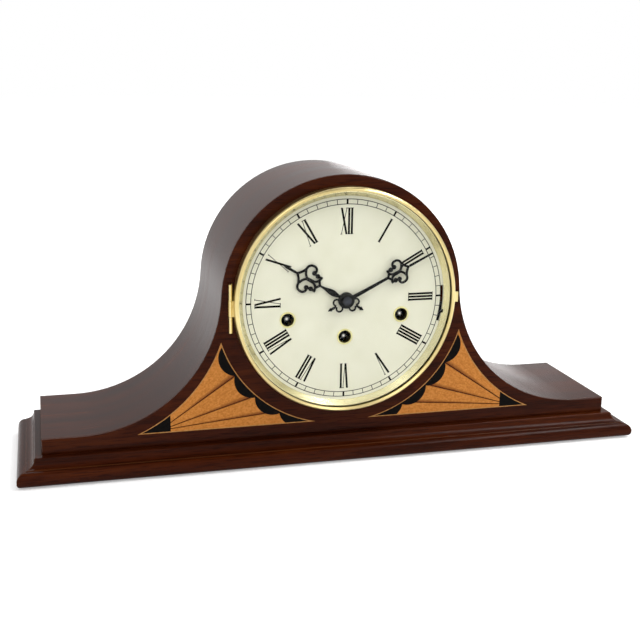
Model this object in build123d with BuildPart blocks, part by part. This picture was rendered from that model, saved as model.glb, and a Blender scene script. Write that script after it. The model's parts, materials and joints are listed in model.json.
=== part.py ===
from build123d import *
import os
from math import atan2, cos, degrees, dist, hypot, radians, sin, sqrt

# Mantel clock with a round-arched case, a hinged brass bezel and a three-train chiming movement.
# Millimetres. X is the width, Y runs from front (-) to back (+), Z is up, z = 0 is the shelf.
# "Depth" below is the distance behind the case's front face. Negative depths stand in front of it.
# Places on the dial and in the movement are (x, z) from the dial's centre.

# Case
CASE_HALF_WIDTH = 228.5
CASE_DEPTH = 103.5
ARCH_RADIUS = 94.7
DIAL_HEIGHT = 107.5
SHOULDER_HEIGHT = 11.7
SHOULDER_LENGTH = 28.0
WRAP_THICKNESS = 6.0
RAIL_WIDTH = 12.0
FRONT_LIP = 2.0
FRONT_THICKNESS = 12.0
FRONT_ARRIS = 1.5
SEAM = 0.4
BACK_THICKNESS = 8.0
DIAL_OPENING_RADIUS = 76.0

# Base and its moulding
BASE_HEIGHT = 17.8
LEDGE = 4.5
EDGE_RADIUS = 1.2
EDGE_HEIGHT = 2.2
COVE_OUT = 5.6
COVE_DROP = 4.5
COVE_SAG = 1.2
STEP = 0.5
NOSE_OUT = 6.7
NOSE_TOP_RADIUS = 5.5
NOSE_LOW_RADIUS = 4.0
FOOT_RADIUS = 9.0
FOOT_THICKNESS = 1.0
FOOT_INSET = 18.0

# Inlaid fans beside the dial
INLAY_THICKNESS = 0.8
INLAY_CIRCLE = 99.5
INLAY_MARGIN = 8.0
INLAY_SHIFT = (2.5, -2.3)
INLAY_RISE = 10.3
STRING_WIDTH = 0.7
SCALLOP_COUNT = 4
SCALLOP_SPACING = 13.5
FIRST_SCALLOP = 63.3
SCALLOP_CENTRE = 92.7
SCALLOP_RADIUS = 14.6
FOCUS_X = 142.0
FOCUS_RISE = 2.1
TIP_LENGTH = 8.0
TIP_HEIGHT = 30.0
RAY_WIDTH = 0.7

# Dial, reflector, bezel and glass
DIAL_RADIUS = 81.6
DIAL_STAND = 3.0
DIAL_SHEET = 1.0
DIAL_HOLE = 4.5
KEY_HOLE = 5.0
EYELET_WALL = 0.4
EYELET_FLANGE = 6.2
EYELET_PROUD = 0.4
REFLECTOR_FOOT = 83.2
REFLECTOR_HEIGHT = 7.9
REFLECTOR_SHEET = 0.8
SIGHT_RADIUS = 79.4
BEZEL_RADIUS = 86.5
BEZEL_WALL = 1.6
BEZEL_FRONT = 12.0
BEZEL_LIP = 2.0
BEZEL_SIGHT = 83.6
BEZEL_LIFT = 0.6
BEAD_DROP = 2.4
GLASS_THICKNESS = 1.8
GLASS_RISE = 3.5
RETAINER_HEIGHT = 1.2
TAB_REACH = 5.8
TAB_HEIGHT = 8.0
TAB_DROP = 2.0
TAB_SHEET = 1.2
SLOT_INNER = 77.2
SLOT_OUTER = 79.3
SLOT_START = 84.0
SLOT_END = 105.0
SLIDER_ANGLE = 99.0
SLIDER_SPREAD = 5.0
SLIDER_SHEET = 0.8
SLIDER_TAB = 2.4
SLIDER_PROUD = 1.6

# Hinges
HINGE_GAP = 0.2
BEZEL_AXIS_OUT = 1.8
BEZEL_AXIS_STAND = 3.0
BEZEL_KNUCKLE = 1.3
BEZEL_PIN = 0.6
BEZEL_HINGE_LENGTH = 37.0
BEZEL_HINGE_DROP = 3.0
BEZEL_STRIP_WIDTH = 1.3
BEZEL_STRIP_SHEET = 0.8
BEZEL_WEB = 1.2
DOOR_KNUCKLE = 2.0
DOOR_PIN = 1.0
DOOR_LEAF_LENGTH = 24.0
DOOR_LEAF_WIDTH = 12.0
DOOR_LEAF_SHEET = 1.0
DOOR_HINGES = (-60.0, -12.0)

# Back door
DOOR_HALF_WIDTH = 60.0
DOOR_BOTTOM = -84.0
DOOR_GAP = 0.6
DOOR_SEAT = 0.2
KNOB_RADIUS = 5.0
KNOB_STEM = 2.5
KNOB_OUT = 9.0
KNOB_AT = (50.0, -36.0)
MAGNET_WIDTH = 14.0
MAGNET_HEIGHT = 20.0
MAGNET_DEPTH = 8.0
MAGNET_OVERLAP = 4.0

# Hands
HOUR_ANGLE = -59.5
MINUTE_ANGLE = 63.0
HAND_SHEET = 0.6
HAND_GAP = 1.4
HOUR_TIP = 57.5
MINUTE_TIP = 76.5
HAND_BOSS = 6.2
HAND_STROKE = 1.8
HOUR_ORNAMENT = 24.0
HOUR_ORNAMENT_LENGTH = 20.5
HOUR_ORNAMENT_HALF = 11.2
MINUTE_ORNAMENT = 36.3
MINUTE_ORNAMENT_LENGTH = 18.2
MINUTE_ORNAMENT_HALF = 9.6
HAND_TAIL = 16.5
TAIL_STROKE = 1.3
NUT_RADIUS = 3.6
NUT_HEIGHT = 2.8

# Movement: plates, pillars and trains
WIND_X = 45.0
WIND_SIDE_Z = -13.5
WIND_LOW_Z = -29.0
PLATE_HALF_WIDTH = 68.0
PLATE_HALF_HEIGHT = 58.0
PLATE_RADIUS = 77.0
PLATE_THICKNESS = 2.0
PLATE_GAP = 34.0
PILLAR_X = 54.0
PILLAR_Z = 45.0
PILLAR_RADIUS = 4.0
PILLAR_END = 2.0
NUT_ACROSS = 7.0
NUT_THICKNESS = 2.0
STRAP_THICKNESS = 2.0
STRAP_WIDTH = 12.0
STRAP_IN = 6.0
STRAP_OUT = 15.5
SCREW_SHANK = 1.6
SCREW_HEAD = 3.4
SCREW_HEAD_HEIGHT = 1.8
SCREW_DEPTH = 8.0
RUNNING = 0.05
PIVOT_RADIUS = 1.0
CENTRE_RADIUS = 1.4
CANNON_WALL = 0.8
PIPE_WALL = 1.1
WIND_RADIUS = 3.0
WIND_SQUARE = 4.4
RATCHET_TEETH = 16
RATCHET_RADIUS = 9.0
RATCHET_THICKNESS = 2.0
BARREL_RADIUS = 20.0
BARREL_LENGTH = 25.0
WHEEL_THICKNESS = 1.2
WHEEL_RIM = 2.4
WHEEL_HUB = 4.0
WHEEL_ARM = 1.8
GREAT_THICKNESS = 2.5
GREAT_TEETH = 56
CENTRE_PINION = 16
CENTRE_TEETH = 60
THIRD_PINION = 10
THIRD_TEETH = 50
ESCAPE_PINION = 8
ESCAPE_TEETH = 20
ESCAPE_MODULE = 0.85
TRAIN_MODULE = 0.6
THIRD_ANGLE = 50.0
ESCAPE_ANGLE = 130.0
CANNON_TEETH = 12
MINUTE_TEETH = 36
MINUTE_PINION = 10
HOUR_TEETH = 40
MOTION_DISTANCE = 18.0
MOTION_ANGLE = 150.0
PALLET_DISTANCE = 13.0
PALLET_ARM = 8.0
PALLET_BAR = 2.2
PALLET_SPREAD = 60.0
BALANCE_AT = (-22.0, 40.0)
BALANCE_RADIUS = 10.5
BALANCE_RIM = 2.0
GREAT_CLEAR = 2.0
CENTRE_CLEAR = 1.6
THIRD_STEP = 7.3
ESCAPE_STEP = 10.0
BALANCE_STEP = 5.0
CANNON_CLEAR = 2.5
CANNON_FACE = 3.0
HOUR_CLEAR = 1.5

# Chime: pin drum, hammers and rods
DRUM_PINION = 14
DRUM_ANGLE = -100.0
DRUM_RADIUS = 9.0
DRUM_PIN = 0.9
DRUM_PIN_OUT = 1.2
DRUM_PIN_START = 15.0
HAMMER_COUNT = 4
HAMMER_STAND = 8.0
HAMMER_HEAD_GAP = 2.6
HAMMER_RAIL_AT = (14.0, -50.0)
HAMMER_RAIL_RADIUS = 1.5
HAMMER_HUB = 3.2
HAMMER_THICKNESS = 3.0
HAMMER_ARM = 3.0
HAMMER_REACH = 20.0
HAMMER_CLEAR = 0.6
HAMMER_HEAD_LENGTH = 10.0
HAMMER_LIFT = 2.0
FRAME_THICKNESS = 2.0
FRAME_CLEAR = 4.0
FRAME_MARGIN = 7.0
FRAME_POST = 3.0
FRAME_POSTS = ((24.0, -34.0), (56.0, -28.0))
ROD_RADIUS = 1.6
ROD_HEIGHT = 15.0
ROD_LONGEST = 190.0
ROD_STEP = 9.0
ROD_SEAT = 12.0
BLOCK_X = -128.0
BLOCK_WIDTH = 28.0
BLOCK_HEIGHT = 24.0
BLOCK_MARGIN = 8.0

# Worked-out places
MOULDING_OUT = LEDGE + EDGE_RADIUS + COVE_OUT + STEP + NOSE_OUT
FRONT_Y = (MOULDING_OUT - CASE_DEPTH - KNOB_OUT) / 2
BACK_Y = FRONT_Y + CASE_DEPTH
BASE_TOP = FOOT_THICKNESS + BASE_HEIGHT
DIAL_Z = BASE_TOP + DIAL_HEIGHT
SHOULDER_Z = SHOULDER_HEIGHT - DIAL_HEIGHT
FLARE_X = CASE_HALF_WIDTH - SHOULDER_LENGTH
FLARE_RADIUS = (FLARE_X**2 + SHOULDER_Z**2 - ARCH_RADIUS**2) / (2 * (ARCH_RADIUS - SHOULDER_Z))
FLARE_Z = SHOULDER_Z + FLARE_RADIUS
FLARE_START = degrees(atan2(FLARE_Z, FLARE_X))
INLAY_BOTTOM = INLAY_RISE - DIAL_HEIGHT
FOCUS = (FOCUS_X, INLAY_BOTTOM + FOCUS_RISE)
PLATE_FRONT = FRONT_THICKNESS + STRAP_THICKNESS
PLATE_INNER = PLATE_FRONT + PLATE_THICKNESS
BACK_INNER = PLATE_INNER + PLATE_GAP
PLATE_BACK = BACK_INNER + PLATE_THICKNESS
GREAT_MODULE = -2 * WIND_LOW_Z / (GREAT_TEETH + CENTRE_PINION)


def polar(radius, angle, start=(0.0, 0.0)):
    """Point at a radius and an angle in degrees, counter-clockwise from +x, from a start point."""
    return (start[0] + radius * cos(radians(angle)), start[1] + radius * sin(radians(angle)))


def mesh_distance(module, teeth, pinion):
    """Centre distance of two meshed wheels."""
    return module * (teeth + pinion) / 2


CENTRE_AT = (0.0, 0.0)
THIRD_AT = polar(mesh_distance(TRAIN_MODULE, CENTRE_TEETH, THIRD_PINION), THIRD_ANGLE)
ESCAPE_AT = polar(mesh_distance(TRAIN_MODULE, THIRD_TEETH, ESCAPE_PINION), ESCAPE_ANGLE, THIRD_AT)
PALLET_AT = polar(PALLET_DISTANCE, 90, ESCAPE_AT)
MINUTE_AT = polar(MOTION_DISTANCE, MOTION_ANGLE)
TRAINS = {"time": (0.0, WIND_LOW_Z), "strike": (-WIND_X, WIND_SIDE_Z), "chime": (WIND_X, WIND_SIDE_Z)}
DRUM_AT = polar(mesh_distance(GREAT_MODULE, GREAT_TEETH, DRUM_PINION), DRUM_ANGLE, TRAINS["chime"])
PILLARS = [(sx * PILLAR_X, sz * PILLAR_Z) for sx in (-1, 1) for sz in (-1, 1)]
FRAME_FRONT = CASE_DEPTH - BACK_THICKNESS - FRAME_CLEAR - FRAME_THICKNESS
HAMMER_FIRST = PLATE_BACK + HAMMER_STAND
HAMMER_SPACING = (FRAME_FRONT - HAMMER_FIRST) / HAMMER_COUNT
HAMMER_HEAD_RADIUS = (HAMMER_SPACING - HAMMER_HEAD_GAP) / 2
HAMMER_DEPTHS = [HAMMER_FIRST + HAMMER_SPACING * n for n in range(HAMMER_COUNT)]
ROD_Z = BASE_TOP + ROD_HEIGHT

# Depths of the wheels between the plates, and of the motion work in front of them
GREAT_BACK = PLATE_INNER + GREAT_CLEAR + GREAT_THICKNESS
BARREL_BACK = GREAT_BACK + BARREL_LENGTH
CENTRE_BACK = BACK_INNER - CENTRE_CLEAR
THIRD_BACK = CENTRE_BACK - THIRD_STEP
ESCAPE_BACK = THIRD_BACK - ESCAPE_STEP
BALANCE_BACK = ESCAPE_BACK - BALANCE_STEP
CANNON_BACK = PLATE_FRONT - CANNON_CLEAR
CANNON_FRONT = CANNON_BACK - CANNON_FACE
HOUR_BACK = CANNON_FRONT - HOUR_CLEAR
HOUR_FRONT = HOUR_BACK - WHEEL_THICKNESS
CANNON_RADIUS = CENTRE_RADIUS + CANNON_WALL
PIPE_RADIUS = CANNON_RADIUS + RUNNING + PIPE_WALL
HOUR_HAND_BACK = -DIAL_STAND - HAND_GAP
MINUTE_HAND_BACK = HOUR_HAND_BACK - HAND_SHEET - HAND_GAP
NUT_BACK = MINUTE_HAND_BACK - HAND_SHEET
CENTRE_FRONT = NUT_BACK - NUT_HEIGHT / 2


def arbor_plane(at, depth):
    """Plane facing the viewer, at a depth, with its origin on an arbor."""
    return Plane(
        origin=(at[0], FRONT_Y + depth, DIAL_Z + at[1]), x_dir=(1, 0, 0), z_dir=(0, -1, 0)
    )


def dial_plane(depth, turn=0.0):
    """Plane facing the viewer on the dial's axis, its x turned clockwise from 12 o'clock by turn."""
    if turn == 0.0:
        return arbor_plane(CENTRE_AT, depth)
    direction = (sin(radians(turn)), 0, cos(radians(turn)))
    return Plane(origin=(0, FRONT_Y + depth, DIAL_Z), x_dir=direction, z_dir=(0, -1, 0))


def disc(at, radius, front, back, mode=Mode.ADD):
    """Round stretch about an arbor, between two depths."""
    with BuildSketch(arbor_plane(at, back)) as section:
        Circle(radius)
    extrude(section.sketch, amount=back - front, mode=mode)


def turned(at, profile):
    """Piece turned about an arbor from a closed outline of (radius, depth) points."""
    with BuildSketch(Plane(origin=(at[0], FRONT_Y, DIAL_Z + at[1]))) as section:
        with BuildLine():
            Polyline(*profile, close=True)
        make_face()
    revolve(section.sketch, axis=Axis((at[0], FRONT_Y, DIAL_Z + at[1]), (0, 1, 0)))


def block(low, high, mode=Mode.ADD):
    """Upright box between two corners."""
    size = [b - a for a, b in zip(low, high)]
    middle = ((low[0] + high[0]) / 2, (low[1] + high[1]) / 2)
    with BuildSketch(Plane.XY.offset(low[2])) as section:
        with Locations(middle):
            Rectangle(size[0], size[1])
    extrude(section.sketch, amount=size[2], mode=mode)


TOOTH_TIP = 0.8
TOOTH_ROOT = 1.15
TOOTH_TIP_SHARE = 0.11
TOOTH_ROOT_SHARE = 0.27


def gear(at, teeth, module, phase, front, back):
    """Toothed wheel with a tooth centred at the phase angle. The thin teeth leave backlash."""
    pitch = 360 / teeth
    root = module * (teeth / 2 - TOOTH_ROOT)
    tip = module * (teeth / 2 + TOOTH_TIP)
    points = []
    for tooth in range(teeth):
        middle = phase + tooth * pitch
        points.append(polar(root, middle - TOOTH_ROOT_SHARE * pitch))
        points.append(polar(tip, middle - TOOTH_TIP_SHARE * pitch))
        points.append(polar(tip, middle + TOOTH_TIP_SHARE * pitch))
        points.append(polar(root, middle + TOOTH_ROOT_SHARE * pitch))
    with BuildSketch(arbor_plane(at, back)) as section:
        with BuildLine():
            Polyline(*points, close=True)
        make_face()
    extrude(section.sketch, amount=back - front)


def facing_gap(angle, teeth):
    """Phase that turns a gap between two teeth towards an angle."""
    return angle + 180 / teeth


def crossings(at, teeth, module, front, back, arms=5):
    """Windows between the hub, the arms and the rim of a wheel."""
    outer = module * (teeth / 2 - TOOTH_ROOT) - WHEEL_RIM
    with BuildSketch(arbor_plane(at, back)) as windows:
        Circle(outer)
        Circle(WHEEL_HUB, mode=Mode.SUBTRACT)
        with PolarLocations(WHEEL_HUB / 2, arms):
            Rectangle(outer, WHEEL_ARM, align=(Align.MIN, Align.CENTER), mode=Mode.SUBTRACT)
    extrude(windows.sketch, amount=back - front, mode=Mode.SUBTRACT)


def knuckle(axis, low, high, radius, bore):
    """Hinge knuckle on an upright axis."""
    with BuildSketch(Plane.XY.offset(low)) as section:
        with Locations(axis):
            Circle(radius)
    extrude(section.sketch, amount=high - low)
    with BuildSketch(Plane.XY.offset(low)) as hole:
        with Locations(axis):
            Circle(bore)
    extrude(hole.sketch, amount=high - low, mode=Mode.SUBTRACT)


os.makedirs("parts", exist_ok=True)


def save(builder, name):
    """Label a finished piece and write it."""
    builder.part.label = name
    export_step(builder.part, f"parts/{name}.step")


# Case outline, set in by a thickness


def case_profile(depth, inset=0.0, end_inset=0.0):
    """Face of the case's outline at a depth: arch, two hollow flares and two flat shoulders."""
    half = CASE_HALF_WIDTH - end_inset
    top = SHOULDER_Z - inset
    with BuildSketch(dial_plane(depth)) as profile:
        with BuildLine():
            Polyline((0, -DIAL_HEIGHT), (half, -DIAL_HEIGHT), (half, top), (FLARE_X, top))
            CenterArc((FLARE_X, FLARE_Z), FLARE_RADIUS + inset, 270, FLARE_START - 90)
            CenterArc((0, 0), ARCH_RADIUS - inset, FLARE_START, 90 - FLARE_START)
            mirror(about=Plane.YZ)
        make_face()
    return profile.sketch


# Inlaid fan on the right, drawn about the dial's centre


def trim_field(margin):
    """Cut the active sketch back to the inlaid field, set in by a margin."""
    Circle(INLAY_CIRCLE + margin, mode=Mode.SUBTRACT)
    with Locations((FLARE_X + INLAY_SHIFT[0], FLARE_Z + INLAY_SHIFT[1])):
        Circle(FLARE_RADIUS + INLAY_MARGIN + margin, mode=Mode.SUBTRACT)
    with Locations((FLARE_X / 2, INLAY_BOTTOM + margin)):
        Rectangle(2 * FLARE_X, INLAY_CIRCLE, align=(Align.CENTER, Align.MAX), mode=Mode.SUBTRACT)


def whole_field(mode=Mode.ADD):
    """Rectangle from the dial's middle to the flare's, which holds the whole field."""
    with Locations((0, INLAY_BOTTOM)):
        Rectangle(FLARE_X, -INLAY_BOTTOM, align=(Align.MIN, Align.MIN), mode=mode)


def ebony_shapes(mode=Mode.ADD):
    """Scallops along the dial and the dark tip at the fan's focus."""
    for scallop in range(SCALLOP_COUNT):
        with Locations(polar(SCALLOP_CENTRE, FIRST_SCALLOP - scallop * SCALLOP_SPACING - 90)):
            Circle(SCALLOP_RADIUS, mode=mode)
    with Locations((FOCUS_X - TIP_LENGTH, FOCUS[1])):
        Rectangle(FLARE_X - FOCUS_X, TIP_HEIGHT, align=(Align.MIN, Align.CENTER), mode=mode)


def fan_rays():
    """Thin cuts that part the flutes, from the focus to the cusps between the scallops."""
    for ray in range(1, SCALLOP_COUNT):
        cusp = polar(INLAY_CIRCLE, FIRST_SCALLOP - (ray - 0.5) * SCALLOP_SPACING - 90)
        run = (cusp[0] - FOCUS[0], cusp[1] - FOCUS[1])
        with Locations(((cusp[0] + FOCUS[0]) / 2, (cusp[1] + FOCUS[1]) / 2)):
            turn = degrees(atan2(run[1], run[0]))
            Rectangle(hypot(*run), RAY_WIDTH, rotation=turn, mode=Mode.SUBTRACT)


# Base

with BuildPart() as base_panel:
    block(
        (-CASE_HALF_WIDTH, FRONT_Y, FOOT_THICKNESS), (CASE_HALF_WIDTH, BACK_Y, BASE_TOP)
    )
    for screw_depth in (HAMMER_DEPTHS[0], HAMMER_DEPTHS[-1]):
        with BuildSketch(Plane.XY.offset(BASE_TOP)):
            with Locations((BLOCK_X + BLOCK_WIDTH / 3, FRONT_Y + screw_depth)):
                Circle(SCREW_SHANK)
        extrude(amount=-SCREW_DEPTH, mode=Mode.SUBTRACT)
save(base_panel, "base_panel")


def moulding_section(plane):
    """Base moulding's section, out from the case and up from its underside."""
    nose_x = MOULDING_OUT - NOSE_OUT
    nose_top = BASE_HEIGHT - EDGE_HEIGHT - COVE_DROP - STEP
    cove_low = (nose_x - STEP, nose_top + STEP)
    cove_high = (LEDGE + EDGE_RADIUS, BASE_HEIGHT - EDGE_HEIGHT)
    with BuildSketch(plane) as section:
        with BuildLine():
            Polyline((LEDGE, BASE_HEIGHT), (0, BASE_HEIGHT), (0, 0), (MOULDING_OUT - NOSE_LOW_RADIUS, 0))
            CenterArc((MOULDING_OUT - NOSE_LOW_RADIUS, NOSE_LOW_RADIUS), NOSE_LOW_RADIUS, 270, 90)
            Line((MOULDING_OUT, NOSE_LOW_RADIUS), (MOULDING_OUT, nose_top - NOSE_TOP_RADIUS))
            CenterArc((MOULDING_OUT - NOSE_TOP_RADIUS, nose_top - NOSE_TOP_RADIUS), NOSE_TOP_RADIUS, 0, 90)
            Line((MOULDING_OUT - NOSE_TOP_RADIUS, nose_top), (nose_x, nose_top))
            Polyline((nose_x, nose_top), (nose_x, cove_low[1]), cove_low)
            SagittaArc(cove_low, cove_high, COVE_SAG)
            Line(cove_high, (LEDGE + EDGE_RADIUS, BASE_HEIGHT - EDGE_RADIUS))
            CenterArc((LEDGE, BASE_HEIGHT - EDGE_RADIUS), EDGE_RADIUS, 0, 90)
        make_face()
    return section.sketch


RIGHT_MITRE = Plane(origin=(CASE_HALF_WIDTH, FRONT_Y, 0), z_dir=(1, 1, 0))
LEFT_MITRE = Plane(origin=(-CASE_HALF_WIDTH, FRONT_Y, 0), z_dir=(-1, 1, 0))

with BuildPart() as base_moulding_front:
    front_section = Plane(origin=(0, FRONT_Y, FOOT_THICKNESS), x_dir=(0, -1, 0), z_dir=(-1, 0, 0))
    extrude(moulding_section(front_section), amount=CASE_HALF_WIDTH + MOULDING_OUT, both=True)
    split(bisect_by=RIGHT_MITRE, keep=Keep.BOTTOM)
    split(bisect_by=LEFT_MITRE, keep=Keep.BOTTOM)
save(base_moulding_front, "base_moulding_front")

with BuildPart() as base_moulding_right:
    end_section = Plane(origin=(CASE_HALF_WIDTH, BACK_Y, FOOT_THICKNESS), x_dir=(1, 0, 0), z_dir=(0, -1, 0))
    extrude(moulding_section(end_section), amount=CASE_DEPTH + MOULDING_OUT)
    split(bisect_by=RIGHT_MITRE, keep=Keep.TOP)
save(base_moulding_right, "base_moulding_right")

with BuildPart() as base_moulding_left:
    mirror(base_moulding_right.part, about=Plane.YZ)
save(base_moulding_left, "base_moulding_left")

with BuildPart() as felt_feet:
    with BuildSketch(Plane.XY):
        for foot_y in (FRONT_Y + FOOT_INSET, BACK_Y - FOOT_INSET):
            with Locations((CASE_HALF_WIDTH - FOOT_INSET, foot_y), (FOOT_INSET - CASE_HALF_WIDTH, foot_y)):
                Circle(FOOT_RADIUS)
    extrude(amount=FOOT_THICKNESS)
save(felt_feet, "felt_feet")

# Case boards

STRAP_ANGLE = degrees(atan2(PILLAR_Z, PILLAR_X))
PILLAR_REACH = hypot(PILLAR_X, PILLAR_Z)
STRAP_SCREW_REACH = (DIAL_OPENING_RADIUS + PILLAR_REACH + STRAP_OUT) / 2
STRAP_ANGLES = [STRAP_ANGLE, 180 - STRAP_ANGLE, 180 + STRAP_ANGLE, -STRAP_ANGLE]
STRAP_SCREWS = [polar(STRAP_SCREW_REACH, angle) for angle in STRAP_ANGLES]

with BuildPart() as front_board:
    extrude(case_profile(FRONT_LIP), amount=FRONT_LIP)
    arris = front_board.faces().sort_by(Axis.Y)[0].outer_wire().edges()
    fillet(arris.filter_by(lambda edge: edge.center().Z > BASE_TOP + SEAM), FRONT_ARRIS)
    extrude(
        case_profile(FRONT_THICKNESS, WRAP_THICKNESS, RAIL_WIDTH), amount=FRONT_THICKNESS - FRONT_LIP
    )
    disc(CENTRE_AT, DIAL_OPENING_RADIUS, 0, FRONT_THICKNESS, Mode.SUBTRACT)
    with BuildSketch(dial_plane(INLAY_THICKNESS)) as pockets:
        whole_field()
        trim_field(0)
        mirror(about=Plane.YZ)
    extrude(amount=INLAY_THICKNESS, mode=Mode.SUBTRACT)
    for screw in STRAP_SCREWS:
        disc(screw, SCREW_SHANK, FRONT_THICKNESS - SCREW_DEPTH, FRONT_THICKNESS, Mode.SUBTRACT)
save(front_board, "front_board")

with BuildPart() as top_wrap:
    extrude(case_profile(CASE_DEPTH), amount=CASE_DEPTH - FRONT_LIP)
    chamfer(top_wrap.faces().sort_by(Axis.Y)[0].outer_wire().edges(), SEAM)
    extrude(case_profile(CASE_DEPTH, WRAP_THICKNESS), amount=CASE_DEPTH - FRONT_LIP, mode=Mode.SUBTRACT)
save(top_wrap, "top_wrap")

with BuildPart() as end_rails:
    block(
        (CASE_HALF_WIDTH - RAIL_WIDTH, FRONT_Y + FRONT_LIP, BASE_TOP),
        (CASE_HALF_WIDTH, BACK_Y, DIAL_Z + SHOULDER_Z - WRAP_THICKNESS),
    )
    mirror(about=Plane.YZ)
save(end_rails, "end_rails")


def door_profile(depth, grow=0.0):
    """Face of the back door's outline, with a round head about the dial's axis."""
    half = DOOR_HALF_WIDTH + grow
    with BuildSketch(dial_plane(depth)) as profile:
        with BuildLine():
            Polyline((-half, 0), (-half, DOOR_BOTTOM - grow), (half, DOOR_BOTTOM - grow), (half, 0))
            CenterArc((0, 0), half, 0, 180)
        make_face()
    return profile.sketch


with BuildPart() as back_board:
    extrude(case_profile(CASE_DEPTH, WRAP_THICKNESS, RAIL_WIDTH), amount=BACK_THICKNESS)
    extrude(door_profile(CASE_DEPTH, DOOR_GAP), amount=BACK_THICKNESS, mode=Mode.SUBTRACT)
save(back_board, "back_board")

with BuildPart() as back_door:
    extrude(door_profile(CASE_DEPTH), amount=BACK_THICKNESS - DOOR_SEAT)
save(back_door, "back_door")

with BuildPart() as door_knob:
    knob_ball = CASE_DEPTH + KNOB_OUT - KNOB_RADIUS
    disc(KNOB_AT, KNOB_STEM, CASE_DEPTH, knob_ball)
    with Locations((KNOB_AT[0], FRONT_Y + knob_ball, DIAL_Z + KNOB_AT[1])):
        Sphere(KNOB_RADIUS)
    with Locations((KNOB_AT[0], BACK_Y, DIAL_Z + KNOB_AT[1])):
        Box(
            4 * KNOB_RADIUS,
            KNOB_OUT,
            4 * KNOB_RADIUS,
            align=(Align.CENTER, Align.MAX, Align.CENTER),
            mode=Mode.SUBTRACT,
        )
save(door_knob, "door_knob")

with BuildPart() as door_magnet:
    magnet_back = BACK_Y - BACK_THICKNESS
    block(
        (DOOR_HALF_WIDTH - MAGNET_OVERLAP, magnet_back - MAGNET_DEPTH, DIAL_Z - MAGNET_HEIGHT / 2),
        (DOOR_HALF_WIDTH - MAGNET_OVERLAP + MAGNET_WIDTH, magnet_back, DIAL_Z + MAGNET_HEIGHT / 2),
    )
save(door_magnet, "door_magnet")

# Back door's two hinges: the outer knuckles are fixed, the middle one turns with the door

DOOR_AXIS = (-DOOR_HALF_WIDTH - DOOR_GAP / 2, BACK_Y + DOOR_KNUCKLE)
DOOR_THIRD = DOOR_LEAF_LENGTH / 3
LEAF_CLEAR = DOOR_KNUCKLE + HINGE_GAP

with BuildPart() as door_hinge_fixed:
    for middle in DOOR_HINGES:
        low = DIAL_Z + middle - DOOR_LEAF_LENGTH / 2
        high = low + DOOR_LEAF_LENGTH
        block(
            (DOOR_AXIS[0] - DOOR_LEAF_WIDTH, BACK_Y, low),
            (DOOR_AXIS[0] - LEAF_CLEAR, BACK_Y + DOOR_LEAF_SHEET, high),
        )
        for start in (low, high - DOOR_THIRD):
            block(
                (DOOR_AXIS[0] - LEAF_CLEAR, BACK_Y, start),
                (DOOR_AXIS[0], BACK_Y + DOOR_LEAF_SHEET, start + DOOR_THIRD),
            )
            knuckle(DOOR_AXIS, start, start + DOOR_THIRD, DOOR_KNUCKLE, DOOR_PIN + RUNNING)
save(door_hinge_fixed, "door_hinge_fixed")

with BuildPart() as door_hinge_moving:
    for middle in DOOR_HINGES:
        low = DIAL_Z + middle - DOOR_LEAF_LENGTH / 2
        block(
            (DOOR_AXIS[0] + LEAF_CLEAR, BACK_Y, low),
            (DOOR_AXIS[0] + DOOR_LEAF_WIDTH, BACK_Y + DOOR_LEAF_SHEET, low + DOOR_LEAF_LENGTH),
        )
        start = low + DOOR_THIRD + HINGE_GAP
        end = low + 2 * DOOR_THIRD - HINGE_GAP
        block(
            (DOOR_AXIS[0], BACK_Y, start), (DOOR_AXIS[0] + LEAF_CLEAR, BACK_Y + DOOR_LEAF_SHEET, end)
        )
        knuckle(DOOR_AXIS, start, end, DOOR_KNUCKLE, DOOR_PIN + RUNNING)
save(door_hinge_moving, "door_hinge_moving")

with BuildPart() as door_hinge_pins:
    for middle in DOOR_HINGES:
        with BuildSketch(Plane.XY.offset(DIAL_Z + middle - DOOR_LEAF_LENGTH / 2)):
            with Locations(DOOR_AXIS):
                Circle(DOOR_PIN)
        extrude(amount=DOOR_LEAF_LENGTH)
save(door_hinge_pins, "door_hinge_pins")

# Inlay, flush with the front board

with BuildPart() as inlay_stringing:
    with BuildSketch(dial_plane(INLAY_THICKNESS)):
        whole_field()
        trim_field(0)
    extrude(amount=INLAY_THICKNESS)
    with BuildSketch(dial_plane(INLAY_THICKNESS)):
        whole_field()
        trim_field(STRING_WIDTH)
    extrude(amount=INLAY_THICKNESS, mode=Mode.SUBTRACT)
    mirror(about=Plane.YZ)
save(inlay_stringing, "inlay_stringing")

with BuildPart() as inlay_ebony:
    with BuildSketch(dial_plane(INLAY_THICKNESS)):
        ebony_shapes()
        trim_field(STRING_WIDTH)
    extrude(amount=INLAY_THICKNESS)
    mirror(about=Plane.YZ)
save(inlay_ebony, "inlay_ebony")

with BuildPart() as inlay_flutes:
    with BuildSketch(dial_plane(INLAY_THICKNESS)):
        whole_field()
        trim_field(STRING_WIDTH)
        ebony_shapes(Mode.SUBTRACT)
        fan_rays()
    extrude(amount=INLAY_THICKNESS)
    mirror(about=Plane.YZ)
save(inlay_flutes, "inlay_flutes")

# Dial: a shallow pan on the front board, with key holes and a slot for the chime slider


def ring_sector(depth, inner, outer, start, end):
    """Sector of a ring at a depth, between two angles clockwise from 12 o'clock."""
    with BuildSketch(dial_plane(depth)) as sector:
        with BuildLine():
            CenterArc((0, 0), outer, 90 - end, end - start)
            CenterArc((0, 0), inner, 90 - end, end - start)
            for angle in (start, end):
                Line(polar(inner, 90 - angle), polar(outer, 90 - angle))
        make_face()
    return sector.sketch


DIAL_BACK = DIAL_SHEET - DIAL_STAND

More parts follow.
